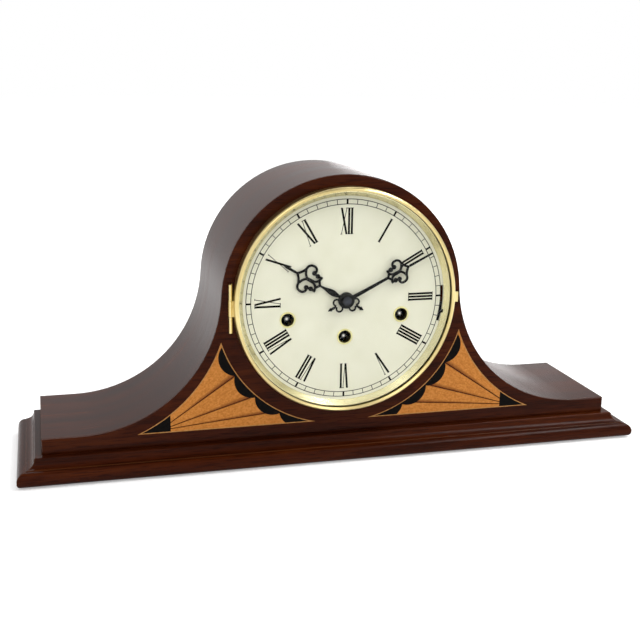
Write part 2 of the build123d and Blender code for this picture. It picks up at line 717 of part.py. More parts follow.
with BuildPart() as dial_plate:
    turned(
        CENTRE_AT,
        [
            (DIAL_HOLE, -DIAL_STAND),
            (DIAL_RADIUS, -DIAL_STAND),
            (DIAL_RADIUS, 0),
            (DIAL_RADIUS - DIAL_SHEET, 0),
            (DIAL_RADIUS - DIAL_SHEET, DIAL_BACK),
            (DIAL_HOLE, DIAL_BACK),
        ],
    )
    for winding in TRAINS.values():
        disc(winding, KEY_HOLE + EYELET_WALL, -DIAL_STAND, DIAL_BACK, Mode.SUBTRACT)
    extrude(
        ring_sector(DIAL_BACK, SLOT_INNER, SLOT_OUTER, SLOT_START, SLOT_END),
        amount=DIAL_SHEET,
        mode=Mode.SUBTRACT,
    )
save(dial_plate, "dial_plate")

with BuildPart() as winding_eyelets:
    for winding in TRAINS.values():
        flange_front = -DIAL_STAND - EYELET_PROUD
        disc(winding, EYELET_FLANGE, flange_front, -DIAL_STAND)
        disc(winding, KEY_HOLE + EYELET_WALL, -DIAL_STAND, DIAL_BACK)
        disc(winding, KEY_HOLE, flange_front, DIAL_BACK, Mode.SUBTRACT)
save(winding_eyelets, "winding_eyelets")

with BuildPart() as silent_slider:
    slider_front = DIAL_BACK + HINGE_GAP / 2
    slider_back = slider_front + SLIDER_SHEET
    slider_outer = DIAL_RADIUS - DIAL_SHEET - 4 * HINGE_GAP
    slider_inner = 2 * SLOT_INNER - slider_outer
    slider_start = SLIDER_ANGLE - SLIDER_SPREAD
    slider_end = SLIDER_ANGLE + SLIDER_SPREAD
    extrude(
        ring_sector(slider_back, slider_inner, slider_outer, slider_start, slider_end),
        amount=SLIDER_SHEET,
    )
    with BuildSketch(dial_plane(slider_front, SLIDER_ANGLE)):
        with Locations(((SLOT_INNER + SLOT_OUTER) / 2, 0)):
            Rectangle(SLOT_OUTER - SLOT_INNER - 2 * HINGE_GAP, SLIDER_TAB)
    extrude(amount=slider_front + DIAL_STAND + SLIDER_PROUD)
save(silent_slider, "silent_slider")

# Sloped brass reflector around the dial: its lip holds the dial down, its foot stands on the board

with BuildPart() as reflector_ring:
    lip = -DIAL_STAND - RUNNING
    turned(
        CENTRE_AT,
        [
            (DIAL_RADIUS + RUNNING, 0),
            (REFLECTOR_FOOT, 0),
            (REFLECTOR_FOOT, -REFLECTOR_HEIGHT),
            (REFLECTOR_FOOT - REFLECTOR_SHEET / 2, -REFLECTOR_HEIGHT),
            (SIGHT_RADIUS, lip - REFLECTOR_SHEET / 2),
            (SIGHT_RADIUS, lip),
            (DIAL_RADIUS + RUNNING, lip),
        ],
    )
save(reflector_ring, "reflector_ring")

# Bezel: a spun ring with a beaded front, hinged on the left, holding the domed glass

BEZEL_INNER = BEZEL_RADIUS - BEZEL_WALL
LIP_BACK = BEZEL_LIP - BEZEL_FRONT
GLASS_BACK = LIP_BACK + GLASS_THICKNESS
GLASS_RADIUS = BEZEL_INNER - HINGE_GAP
DOME_RADIUS = BEZEL_SIGHT - HINGE_GAP

with BuildPart() as bezel_ring:
    with BuildSketch(Plane(origin=(0, FRONT_Y, DIAL_Z))):
        with BuildLine():
            bead_side = BEAD_DROP - BEZEL_FRONT
            bead_top = (BEZEL_INNER, -BEZEL_FRONT)
            bead_shoulder = (BEZEL_RADIUS - BEZEL_WALL * 0.3, -BEZEL_FRONT + BEAD_DROP * 0.3)
            Polyline(
                (BEZEL_SIGHT, LIP_BACK),
                (BEZEL_INNER, LIP_BACK),
                (BEZEL_INNER, -BEZEL_LIFT),
                (BEZEL_RADIUS, -BEZEL_LIFT),
                (BEZEL_RADIUS, bead_side),
            )
            ThreePointArc((BEZEL_RADIUS, bead_side), bead_shoulder, bead_top)
            Polyline(bead_top, (BEZEL_SIGHT, LIP_BACK - BEZEL_LIP / 2), (BEZEL_SIGHT, LIP_BACK))
        make_face()
    revolve(axis=Axis((0, FRONT_Y, DIAL_Z), (0, 1, 0)))
save(bezel_ring, "bezel_ring")

with BuildPart() as bezel_glass:
    with BuildSketch(Plane(origin=(0, FRONT_Y, DIAL_Z))):
        with BuildLine():
            dome = (DOME_RADIUS**2 + GLASS_RISE**2) / (2 * GLASS_RISE)
            half_drop = dome - sqrt(dome**2 - DOME_RADIUS**2 / 4)
            for rim_depth in (GLASS_BACK, LIP_BACK):
                top_depth = rim_depth - GLASS_RISE
                half_way = (DOME_RADIUS / 2, top_depth + half_drop)
                ThreePointArc((0, top_depth), half_way, (DOME_RADIUS, rim_depth))
                Line((DOME_RADIUS, rim_depth), (GLASS_RADIUS, rim_depth))
            Line((GLASS_RADIUS, GLASS_BACK), (GLASS_RADIUS, LIP_BACK))
            Line((0, GLASS_BACK - GLASS_RISE), (0, LIP_BACK - GLASS_RISE))
        make_face()
    revolve(axis=Axis((0, FRONT_Y, DIAL_Z), (0, 1, 0)))
save(bezel_glass, "bezel_glass")

with BuildPart() as glass_retainer:
    retainer_back = GLASS_BACK + RETAINER_HEIGHT
    disc(CENTRE_AT, BEZEL_INNER, GLASS_BACK, retainer_back)
    disc(CENTRE_AT, (BEZEL_INNER + REFLECTOR_FOOT) / 2, GLASS_BACK, retainer_back, Mode.SUBTRACT)
save(glass_retainer, "glass_retainer")

with BuildPart() as bezel_tab:
    tab_back = -BEZEL_LIFT - HINGE_GAP
    with BuildSketch(dial_plane(tab_back)):
        with Locations((0, -TAB_DROP)):
            Rectangle(BEZEL_RADIUS + TAB_REACH, TAB_HEIGHT, align=(Align.MIN, Align.CENTER))
        Circle(BEZEL_RADIUS, mode=Mode.SUBTRACT)
    extrude(amount=TAB_SHEET)
save(bezel_tab, "bezel_tab")

# Bezel hinge: the outer knuckles stand on a strip on the board, the middle one carries the bezel

BEZEL_AXIS = (-BEZEL_RADIUS - BEZEL_AXIS_OUT, FRONT_Y - BEZEL_AXIS_STAND)
BEZEL_LOW = DIAL_Z - BEZEL_HINGE_DROP - BEZEL_HINGE_LENGTH / 2
BEZEL_HIGH = BEZEL_LOW + BEZEL_HINGE_LENGTH
BEZEL_THIRD = BEZEL_HINGE_LENGTH / 3

with BuildPart() as bezel_hinge_fixed:
    strip_x = BEZEL_AXIS[0] - BEZEL_STRIP_WIDTH
    strip_end = -BEZEL_RADIUS - HINGE_GAP
    block((strip_x, FRONT_Y - BEZEL_STRIP_SHEET, BEZEL_LOW), (strip_end, FRONT_Y, BEZEL_HIGH))
    for start in (BEZEL_LOW, BEZEL_HIGH - BEZEL_THIRD):
        block((strip_x, BEZEL_AXIS[1], start), (BEZEL_AXIS[0], FRONT_Y, start + BEZEL_THIRD))
        knuckle(BEZEL_AXIS, start, start + BEZEL_THIRD, BEZEL_KNUCKLE, BEZEL_PIN + RUNNING)
save(bezel_hinge_fixed, "bezel_hinge_fixed")

with BuildPart() as bezel_hinge_moving:
    start = BEZEL_LOW + BEZEL_THIRD + HINGE_GAP
    end = BEZEL_HIGH - BEZEL_THIRD - HINGE_GAP
    web_y = BEZEL_AXIS[1]
    block((BEZEL_AXIS[0], web_y - BEZEL_WEB / 2, start), (0, web_y + BEZEL_WEB / 2, end))
    disc(CENTRE_AT, BEZEL_RADIUS, -BEZEL_FRONT, 0, Mode.SUBTRACT)
    knuckle(BEZEL_AXIS, start, end, BEZEL_KNUCKLE, BEZEL_PIN + RUNNING)
save(bezel_hinge_moving, "bezel_hinge_moving")

with BuildPart() as bezel_hinge_pin:
    with BuildSketch(Plane.XY.offset(BEZEL_LOW)):
        with Locations(BEZEL_AXIS):
            Circle(BEZEL_PIN)
    extrude(amount=BEZEL_HINGE_LENGTH)
save(bezel_hinge_pin, "bezel_hinge_pin")

# Pierced hands. Along a hand, x runs from the dial's centre to the tip.


def hand_ornament(start, length, half_width):
    """Scroll ornament of a hand in the active sketch: two C-scrolls back to back, below the tip."""

    def place(along, across):
        return (start + length * along, half_width * across)

    with BuildLine() as outline:
        ThreePointArc(place(1.0, 0.0), place(0.855, 0.27), place(0.766, 0.59))
        ThreePointArc(place(0.766, 0.59), place(0.70, 0.87), place(0.57, 0.95))
        ThreePointArc(place(0.57, 0.95), place(0.43, 0.87), place(0.39, 0.70))
        ThreePointArc(place(0.39, 0.70), place(0.395, 0.61), place(0.434, 0.545))
    trace(outline.edges(), HAND_STROKE)
    with BuildLine() as spine:
        ThreePointArc(place(0.756, 0.50), place(0.69, 0.23), place(0.585, 0.04))
        Line(place(0.585, 0.04), place(0.29, 0.05))
        ThreePointArc(place(0.29, 0.05), place(0.16, 0.18), place(0.10, 0.42))
        Line(place(0.0, 0.0), place(0.10, 0.24))
    trace(spine.edges(), HAND_STROKE)
    with BuildLine() as scroll_bar:
        Line(place(0.434, 0.545), place(0.254, 0.48))
        Line(place(0.254, 0.48), place(0.05, 0.50))
    trace(scroll_bar.edges(), HAND_STROKE)
    with Locations(place(0.425, 0.545), place(0.25, 0.48)):
        Circle(HAND_STROKE)
    mirror(about=Plane.XZ)


def hand_tail():
    """Short pierced tail of a hand in the active sketch, ending in an arrow."""
    with BuildLine() as loops:
        ThreePointArc((1.0 - HAND_BOSS, 2.6), (-9.8, 3.7), (-9.4, 1.0))
        ThreePointArc((-9.4, 1.0), (-10.0, 0.3), (-13.0, 0.0))
    trace(loops.edges(), TAIL_STROKE)
    mirror(about=Plane.XZ)
    with BuildLine() as arrow:
        barb = 2.9 - HAND_TAIL
        Polyline((4.3 - HAND_TAIL, 0), (barb, 1.5), (-HAND_TAIL, 0), (barb, -1.5), close=True)
    make_face(arrow.edges())


with BuildPart() as hour_hand:
    with BuildSketch(dial_plane(HOUR_HAND_BACK, HOUR_ANGLE)):
        Circle(HAND_BOSS)
        with BuildLine():
            Spline((0, 1.1), (7, 1.2), (12, 2.3), (18, 1.4), (24.5, 0.9))
            Line((24.5, 0.9), (24.5, -0.9))
            Spline((24.5, -0.9), (18, -1.4), (12, -2.3), (7, -1.2), (0, -1.1))
            Line((0, -1.1), (0, 1.1))
        make_face()
        hand_ornament(HOUR_ORNAMENT, HOUR_ORNAMENT_LENGTH, HOUR_ORNAMENT_HALF)
        with BuildLine():
            Polyline((43.6, 0), (46.0, 1.0), (HOUR_TIP - 3.5, 1.0), (HOUR_TIP, 0), close=False)
            mirror(about=Plane.XZ)
        make_face()
        hand_tail()
        Circle(PIPE_RADIUS, mode=Mode.SUBTRACT)
    extrude(amount=HAND_SHEET)
save(hour_hand, "hour_hand")

with BuildPart() as minute_hand:
    with BuildSketch(dial_plane(MINUTE_HAND_BACK, MINUTE_ANGLE)):
        Circle(HAND_BOSS)
        with BuildLine():
            Polyline((0, 1.5), (HAND_BOSS, 1.5), (36.8, 1.0), (36.8, 0))
            mirror(about=Plane.XZ)
            Line((0, 1.5), (0, -1.5))
        make_face()
        hand_ornament(MINUTE_ORNAMENT, MINUTE_ORNAMENT_LENGTH, MINUTE_ORNAMENT_HALF)
        with BuildLine():
            Polyline((53.6, 0), (56.0, 0.9), (MINUTE_TIP - 1.0, 0.7), (MINUTE_TIP, 0), close=False)
            mirror(about=Plane.XZ)
        make_face()
        hand_tail()
        Circle(CANNON_RADIUS, mode=Mode.SUBTRACT)
    extrude(amount=HAND_SHEET)
save(minute_hand, "minute_hand")

with BuildPart() as hand_nut:
    turned(
        CENTRE_AT,
        [
            (CENTRE_RADIUS, NUT_BACK),
            (NUT_RADIUS, NUT_BACK),
            (NUT_RADIUS, NUT_BACK - NUT_HEIGHT * 0.45),
            (NUT_RADIUS * 0.8, NUT_BACK - NUT_HEIGHT * 0.8),
            (NUT_RADIUS * 0.45, NUT_BACK - NUT_HEIGHT),
            (0, NUT_BACK - NUT_HEIGHT),
            (0, CENTRE_FRONT),
            (CENTRE_RADIUS, CENTRE_FRONT),
        ],
    )
save(hand_nut, "hand_nut")

# Movement frame: two plates on pillars, hung on the front board by four straps

ARBORS = {
    CENTRE_AT: CENTRE_RADIUS,
    THIRD_AT: PIVOT_RADIUS,
    ESCAPE_AT: PIVOT_RADIUS,
    PALLET_AT: PIVOT_RADIUS,
    BALANCE_AT: PIVOT_RADIUS,
    DRUM_AT: PIVOT_RADIUS,
} | {winding: WIND_RADIUS for winding in TRAINS.values()}


def movement_plate(front, back):
    """Plate between two depths with its pivot and pillar holes."""
    with BuildSketch(dial_plane(back)) as outline:
        Rectangle(2 * PLATE_HALF_WIDTH, 2 * PLATE_HALF_HEIGHT)
        Circle(PLATE_RADIUS, mode=Mode.INTERSECT)
        for place, radius in ARBORS.items():
            with Locations(place):
                Circle(radius + RUNNING, mode=Mode.SUBTRACT)
        with Locations(*PILLARS):
            Circle(PILLAR_END, mode=Mode.SUBTRACT)
    extrude(outline.sketch, amount=back - front)


with BuildPart() as front_plate:
    movement_plate(PLATE_FRONT, PLATE_INNER)
    disc(MINUTE_AT, PIVOT_RADIUS, HOUR_FRONT - WHEEL_THICKNESS, PLATE_FRONT)
save(front_plate, "front_plate")

with BuildPart() as back_plate:
    movement_plate(BACK_INNER, PLATE_BACK)
    disc(HAMMER_RAIL_AT, HAMMER_RAIL_RADIUS, BACK_INNER, PLATE_BACK, Mode.SUBTRACT)
save(back_plate, "back_plate")

with BuildPart() as pillars:
    for pillar in PILLARS:
        disc(pillar, PILLAR_RADIUS, PLATE_INNER, BACK_INNER)
        disc(pillar, PILLAR_END, FRONT_THICKNESS - NUT_THICKNESS, PLATE_BACK + NUT_THICKNESS)
save(pillars, "pillars")

with BuildPart() as pillar_nuts:
    for pillar in PILLARS:
        for nut_back in (FRONT_THICKNESS, PLATE_BACK + NUT_THICKNESS):
            with BuildSketch(arbor_plane(pillar, nut_back)) as nut:
                RegularPolygon(NUT_ACROSS / 2, 6, major_radius=False)
                Circle(PILLAR_END, mode=Mode.SUBTRACT)
            extrude(nut.sketch, amount=NUT_THICKNESS)
save(pillar_nuts, "pillar_nuts")

with BuildPart() as movement_straps:
    for strap_angle in STRAP_ANGLES:
        with BuildSketch(dial_plane(PLATE_FRONT, 90 - strap_angle)) as strap:
            with Locations((PILLAR_REACH - STRAP_IN, 0)):
                Rectangle(STRAP_IN + STRAP_OUT, STRAP_WIDTH, align=(Align.MIN, Align.CENTER))
            with Locations((PILLAR_REACH, 0)):
                Circle(PILLAR_END, mode=Mode.SUBTRACT)
            with Locations((STRAP_SCREW_REACH, 0)):
                Circle(SCREW_SHANK, mode=Mode.SUBTRACT)
        extrude(strap.sketch, amount=STRAP_THICKNESS)
save(movement_straps, "movement_straps")

with BuildPart() as case_screws:
    for screw in STRAP_SCREWS:
        disc(screw, SCREW_SHANK, FRONT_THICKNESS - SCREW_DEPTH, PLATE_FRONT)
        disc(screw, SCREW_HEAD, PLATE_FRONT, PLATE_FRONT + SCREW_HEAD_HEIGHT)
    for screw_depth in (HAMMER_DEPTHS[0], HAMMER_DEPTHS[-1]):
        screw_place = (BLOCK_X + BLOCK_WIDTH / 3, FRONT_Y + screw_depth)
        with BuildSketch(Plane.XY.offset(BASE_TOP - SCREW_DEPTH)) as shank:
            with Locations(screw_place):
                Circle(SCREW_SHANK)
        extrude(shank.sketch, amount=SCREW_DEPTH + BLOCK_HEIGHT)
        with BuildSketch(Plane.XY.offset(BASE_TOP + BLOCK_HEIGHT)) as head:
            with Locations(screw_place):
                Circle(SCREW_HEAD)
        extrude(head.sketch, amount=SCREW_HEAD_HEIGHT)
save(case_screws, "case_screws")

# Spring barrels with their great wheels, and the winding arbors with their ratchets

PINION_ANGLES = {"time": 90.0, "strike": 90.0, "chime": DRUM_ANGLE}

for train, winding in TRAINS.items():
    with BuildPart() as barrel:
        great_front = GREAT_BACK - GREAT_THICKNESS
        gear(winding, GREAT_TEETH, GREAT_MODULE, PINION_ANGLES[train], great_front, GREAT_BACK)
        disc(winding, BARREL_RADIUS, GREAT_BACK, BARREL_BACK)
        disc(winding, WIND_RADIUS + RUNNING, PLATE_INNER, BACK_INNER, Mode.SUBTRACT)
    save(barrel, f"{train}_barrel")

    with BuildPart() as winding_arbor:
        ratchet_back = PLATE_FRONT - HINGE_GAP
        ratchet_front = ratchet_back - RATCHET_THICKNESS
        disc(winding, WIND_RADIUS, ratchet_front, PLATE_BACK + HINGE_GAP)
        ratchet_module = 2 * RATCHET_RADIUS / (RATCHET_TEETH + 2)
        gear(winding, RATCHET_TEETH, ratchet_module, 0.0, ratchet_front, ratchet_back)
        with BuildSketch(arbor_plane(winding, ratchet_front)) as square:
            Rectangle(WIND_SQUARE, WIND_SQUARE)
        extrude(square.sketch, amount=ratchet_front - EYELET_PROUD)
    save(winding_arbor, f"{train}_winding_arbor")

# Going train: centre wheel, third wheel, escape wheel, pallet lever and balance

with BuildPart() as centre_wheel:
    disc(CENTRE_AT, CENTRE_RADIUS, CENTRE_FRONT, PLATE_BACK)
    gear(
        CENTRE_AT,
        CENTRE_PINION,
        GREAT_MODULE,
        facing_gap(-90.0, CENTRE_PINION),
        PLATE_INNER + HINGE_GAP,
        GREAT_BACK + HINGE_GAP,
    )
    centre_front = CENTRE_BACK - WHEEL_THICKNESS
    gear(CENTRE_AT, CENTRE_TEETH, TRAIN_MODULE, THIRD_ANGLE, centre_front, CENTRE_BACK)
    crossings(CENTRE_AT, CENTRE_TEETH, TRAIN_MODULE, centre_front, CENTRE_BACK)
save(centre_wheel, "centre_wheel")

with BuildPart() as third_wheel:
    disc(THIRD_AT, PIVOT_RADIUS, PLATE_FRONT, PLATE_BACK)
    third_phase = facing_gap(THIRD_ANGLE + 180, THIRD_PINION)
    gear(
        THIRD_AT,
        THIRD_PINION,
        TRAIN_MODULE,
        third_phase,
        CENTRE_BACK - WHEEL_THICKNESS - HINGE_GAP,
        CENTRE_BACK + HINGE_GAP,
    )
    third_front = THIRD_BACK - WHEEL_THICKNESS
    gear(THIRD_AT, THIRD_TEETH, TRAIN_MODULE, ESCAPE_ANGLE, third_front, THIRD_BACK)
    crossings(THIRD_AT, THIRD_TEETH, TRAIN_MODULE, third_front, THIRD_BACK)
save(third_wheel, "third_wheel")

with BuildPart() as escape_wheel:
    disc(ESCAPE_AT, PIVOT_RADIUS, PLATE_FRONT, PLATE_BACK)
    escape_phase = facing_gap(ESCAPE_ANGLE + 180, ESCAPE_PINION)
    gear(
        ESCAPE_AT,
        ESCAPE_PINION,
        TRAIN_MODULE,
        escape_phase,
        THIRD_BACK - WHEEL_THICKNESS - HINGE_GAP,
        THIRD_BACK + HINGE_GAP,
    )
    gear(ESCAPE_AT, ESCAPE_TEETH, ESCAPE_MODULE, 0.0, ESCAPE_BACK - WHEEL_THICKNESS, ESCAPE_BACK)
save(escape_wheel, "escape_wheel")

with BuildPart() as pallet_lever:
    disc(PALLET_AT, PIVOT_RADIUS, PLATE_FRONT, PLATE_BACK)
    with BuildSketch(arbor_plane(PALLET_AT, ESCAPE_BACK)) as anchor:
        Circle(PALLET_BAR)
        for arm_angle in (-90 - PALLET_SPREAD, -90 + PALLET_SPREAD):
            with Locations(polar(PALLET_ARM / 2, arm_angle)):
                Rectangle(PALLET_ARM, PALLET_BAR, rotation=arm_angle)
    extrude(anchor.sketch, amount=WHEEL_THICKNESS)
save(pallet_lever, "pallet_lever")

with BuildPart() as balance_wheel:
    disc(BALANCE_AT, PIVOT_RADIUS, PLATE_FRONT, PLATE_BACK)
    with BuildSketch(arbor_plane(BALANCE_AT, BALANCE_BACK)) as balance:
        Circle(BALANCE_RADIUS)
        Circle(BALANCE_RADIUS - BALANCE_RIM, mode=Mode.SUBTRACT)
        Rectangle(2 * BALANCE_RADIUS - BALANCE_RIM, BALANCE_RIM)
        Circle(BALANCE_RIM)
    extrude(balance.sketch, amount=WHEEL_THICKNESS)
save(balance_wheel, "balance_wheel")

# Motion work: cannon pinion, minute wheel on its stud, and hour wheel with its pipe

MOTION_MODULE = 2 * MOTION_DISTANCE / (CANNON_TEETH + MINUTE_TEETH)
HOUR_MODULE = 2 * MOTION_DISTANCE / (MINUTE_PINION + HOUR_TEETH)

with BuildPart() as cannon_pinion:
    disc(CENTRE_AT, CANNON_RADIUS, NUT_BACK, CANNON_BACK)
    gear(CENTRE_AT, CANNON_TEETH, MOTION_MODULE, MOTION_ANGLE, CANNON_FRONT, CANNON_BACK)
    disc(CENTRE_AT, CENTRE_RADIUS, NUT_BACK, CANNON_BACK, Mode.SUBTRACT)
save(cannon_pinion, "cannon_pinion")

with BuildPart() as minute_wheel:
    minute_phase = facing_gap(MOTION_ANGLE + 180, MINUTE_TEETH)
    minute_middle = (CANNON_FRONT + CANNON_BACK) / 2
    gear(
        MINUTE_AT,
        MINUTE_TEETH,
        MOTION_MODULE,
        minute_phase,
        minute_middle - WHEEL_THICKNESS / 2,
        minute_middle + WHEEL_THICKNESS / 2,
    )
    pinion_phase = MOTION_ANGLE + 180
    gear(MINUTE_AT, MINUTE_PINION, HOUR_MODULE, pinion_phase, HOUR_FRONT - HINGE_GAP, minute_middle)
    disc(MINUTE_AT, PIVOT_RADIUS + RUNNING, HOUR_FRONT - HINGE_GAP, CANNON_BACK, Mode.SUBTRACT)
save(minute_wheel, "minute_wheel")

with BuildPart() as hour_wheel:
    disc(CENTRE_AT, PIPE_RADIUS, HOUR_HAND_BACK - HAND_SHEET, HOUR_BACK)
    gear(CENTRE_AT, HOUR_TEETH, HOUR_MODULE, facing_gap(MOTION_ANGLE, HOUR_TEETH), HOUR_FRONT, HOUR_BACK)
    disc(CENTRE_AT, CANNON_RADIUS + RUNNING, HOUR_HAND_BACK - HAND_SHEET, HOUR_BACK, Mode.SUBTRACT)
save(hour_wheel, "hour_wheel")

# Chime: pin drum behind the back plate, a frame with the hammers' rail, the hammers and the rods

with BuildPart() as chime_drum:
    drum_front = HAMMER_DEPTHS[0] - HAMMER_SPACING / 2
    drum_back = HAMMER_DEPTHS[-1] + HAMMER_SPACING / 2
    disc(DRUM_AT, PIVOT_RADIUS, PLATE_FRONT, FRAME_FRONT + FRAME_THICKNESS)
    gear(
        DRUM_AT,
        DRUM_PINION,
        GREAT_MODULE,
        facing_gap(DRUM_ANGLE + 180, DRUM_PINION),
        GREAT_BACK - GREAT_THICKNESS - HINGE_GAP,
        GREAT_BACK + HINGE_GAP,
    )
    disc(DRUM_AT, DRUM_RADIUS, drum_front, drum_back)
    for number, hammer_depth in enumerate(HAMMER_DEPTHS):
        with BuildSketch(arbor_plane(DRUM_AT, hammer_depth + DRUM_PIN)) as pins:
            first_pin = DRUM_PIN_START + 360 / HAMMER_COUNT**2 * number
            with PolarLocations((DRUM_RADIUS + DRUM_PIN_OUT) / 2, HAMMER_COUNT, start_angle=first_pin):
                Rectangle(DRUM_RADIUS + DRUM_PIN_OUT, 2 * DRUM_PIN)
        extrude(pins.sketch, amount=2 * DRUM_PIN)
save(chime_drum, "chime_drum")

with BuildPart() as hammer_frame:
    frame_back = FRAME_FRONT + FRAME_THICKNESS
    frame_places = (HAMMER_RAIL_AT, DRUM_AT, *FRAME_POSTS)
    frame_low = [min(place[axis] for place in frame_places) - FRAME_MARGIN for axis in (0, 1)]
    frame_high = [max(place[axis] for place in frame_places) + FRAME_MARGIN for axis in (0, 1)]
    with BuildSketch(dial_plane(frame_back)) as frame_plate:
        with Locations(tuple(frame_low)):
            frame_size = [high - low for low, high in zip(frame_low, frame_high)]
            Rectangle(*frame_size, align=(Align.MIN, Align.MIN))
        with Locations(DRUM_AT):
            Circle(PIVOT_RADIUS + RUNNING, mode=Mode.SUBTRACT)
    extrude(frame_plate.sketch, amount=FRAME_THICKNESS)
    for post in FRAME_POSTS:
        disc(post, FRAME_POST, PLATE_BACK, FRAME_FRONT)
    disc(HAMMER_RAIL_AT, HAMMER_RAIL_RADIUS, BACK_INNER, FRAME_FRONT)
save(hammer_frame, "hammer_frame")

HEAD_Z = ROD_Z + ROD_RADIUS + HAMMER_LIFT - DIAL_Z
HEAD_X = HAMMER_RAIL_AT[0] - HAMMER_REACH
HAMMER_TAIL = dist(HAMMER_RAIL_AT, DRUM_AT) - DRUM_RADIUS - DRUM_PIN_OUT - HAMMER_CLEAR
TAIL_ANGLE = degrees(atan2(DRUM_AT[1] - HAMMER_RAIL_AT[1], DRUM_AT[0] - HAMMER_RAIL_AT[0]))

for number, hammer_depth in enumerate(HAMMER_DEPTHS, start=1):
    with BuildPart() as hammer:
        with BuildSketch(dial_plane(hammer_depth + HAMMER_THICKNESS / 2)) as hammer_outline:
            with Locations(HAMMER_RAIL_AT):
                Circle(HAMMER_HUB)
            neck = (HEAD_X, HEAD_Z + HAMMER_HEAD_LENGTH)
            run = (neck[0] - HAMMER_RAIL_AT[0], neck[1] - HAMMER_RAIL_AT[1])
            with Locations(((neck[0] + HAMMER_RAIL_AT[0]) / 2, (neck[1] + HAMMER_RAIL_AT[1]) / 2)):
                Rectangle(hypot(*run), HAMMER_ARM, rotation=degrees(atan2(run[1], run[0])))
            with Locations(polar(HAMMER_TAIL / 2, TAIL_ANGLE, HAMMER_RAIL_AT)):
                Rectangle(HAMMER_TAIL, HAMMER_ARM, rotation=TAIL_ANGLE)
        extrude(hammer_outline.sketch, amount=HAMMER_THICKNESS)
        with BuildSketch(Plane(origin=(HEAD_X, FRONT_Y + hammer_depth, DIAL_Z + HEAD_Z))) as head:
            Circle(HAMMER_HEAD_RADIUS)
        extrude(head.sketch, amount=HAMMER_HEAD_LENGTH + HAMMER_ARM)
        disc(
            HAMMER_RAIL_AT,
            HAMMER_RAIL_RADIUS + RUNNING,
            hammer_depth - HAMMER_THICKNESS / 2,
            hammer_depth + HAMMER_THICKNESS / 2,
            Mode.SUBTRACT,
        )
    save(hammer, f"hammer_{number}")

BLOCK_END = BLOCK_X + BLOCK_WIDTH

with BuildPart() as rod_block:
    block(
        (BLOCK_X, FRONT_Y + HAMMER_DEPTHS[0] - BLOCK_MARGIN, BASE_TOP),
        (BLOCK_END, FRONT_Y + HAMMER_DEPTHS[-1] + BLOCK_MARGIN, BASE_TOP + BLOCK_HEIGHT),
    )
    for hammer_depth in HAMMER_DEPTHS:
        with BuildSketch(Plane.YZ.offset(BLOCK_END)) as seat:
            with Locations((FRONT_Y + hammer_depth, ROD_Z)):
                Circle(ROD_RADIUS)
        extrude(seat.sketch, amount=-ROD_SEAT, mode=Mode.SUBTRACT)
    for screw_depth in (HAMMER_DEPTHS[0], HAMMER_DEPTHS[-1]):
        with BuildSketch(Plane.XY.offset(BASE_TOP)) as screw_hole:
            with Locations((BLOCK_X + BLOCK_WIDTH / 3, FRONT_Y + screw_depth)):
                Circle(SCREW_SHANK)
        extrude(screw_hole.sketch, amount=BLOCK_HEIGHT, mode=Mode.SUBTRACT)
save(rod_block, "rod_block")

with BuildPart() as chime_rods:
    for number, hammer_depth in enumerate(HAMMER_DEPTHS):
        with BuildSketch(Plane.YZ.offset(BLOCK_END - ROD_SEAT)) as rod:
            with Locations((FRONT_Y + hammer_depth, ROD_Z)):
                Circle(ROD_RADIUS)
        extrude(rod.sketch, amount=ROD_LONGEST - ROD_STEP * number)
save(chime_rods, "chime_rods")
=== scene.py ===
import json
from math import asin, cos, pi, radians, sin

import bpy
from mathutils import Matrix, Vector


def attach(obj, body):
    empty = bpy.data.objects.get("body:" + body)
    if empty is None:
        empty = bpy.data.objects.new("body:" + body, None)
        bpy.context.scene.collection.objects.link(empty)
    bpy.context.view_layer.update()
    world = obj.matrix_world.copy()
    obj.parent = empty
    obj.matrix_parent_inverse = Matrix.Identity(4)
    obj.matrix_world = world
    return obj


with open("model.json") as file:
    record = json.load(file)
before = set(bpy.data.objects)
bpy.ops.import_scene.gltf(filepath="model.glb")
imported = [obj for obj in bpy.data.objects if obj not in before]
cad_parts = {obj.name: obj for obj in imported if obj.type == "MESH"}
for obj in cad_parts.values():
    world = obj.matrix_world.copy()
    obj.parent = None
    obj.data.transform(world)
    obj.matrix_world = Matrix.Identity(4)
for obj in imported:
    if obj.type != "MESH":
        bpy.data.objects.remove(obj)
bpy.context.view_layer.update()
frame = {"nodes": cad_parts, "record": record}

MM = 0.001
WHITE = (1.0, 1.0, 1.0, 1.0)

# Places on the clock, in millimetres in the shared frame
FRONT_Y = -47.0
DIAL_Z = 126.3
DIAL_FACE_Y = FRONT_Y - 3.0
# The flutes of the right fan run to this focus, and those of the left fan to its mirror image
FOCUS_X = 142.0
FOCUS_Z = DIAL_Z - 95.1
WINDING_PLACES = ((0.0, DIAL_Z - 29.0), (-45.0, DIAL_Z - 13.5), (45.0, DIAL_Z - 13.5))


def linear(hex_colour):
    """Linear RGBA of an sRGB hex colour."""
    channels = [int(hex_colour[i:i + 2], 16) / 255 for i in (1, 3, 5)]
    return tuple(
        c / 12.92 if c <= 0.04045 else ((c + 0.055) / 1.055) ** 2.4 for c in channels
    ) + (1.0,)


def per_metre(size):
    """Scale of a pattern whose real size is given in millimetres."""
    return 1 / (size * MM)


def add(tree, kind, values=None, links=None, **settings):
    """Add a node, set its sockets and settings, and link other nodes' outputs into it."""
    made = tree.nodes.new(kind)
    for name, value in settings.items():
        setattr(made, name, value)
    for socket, value in (values or {}).items():
        made.inputs[socket].default_value = value
    for socket, source in (links or {}).items():
        tree.links.new(source, made.inputs[socket])
    return made


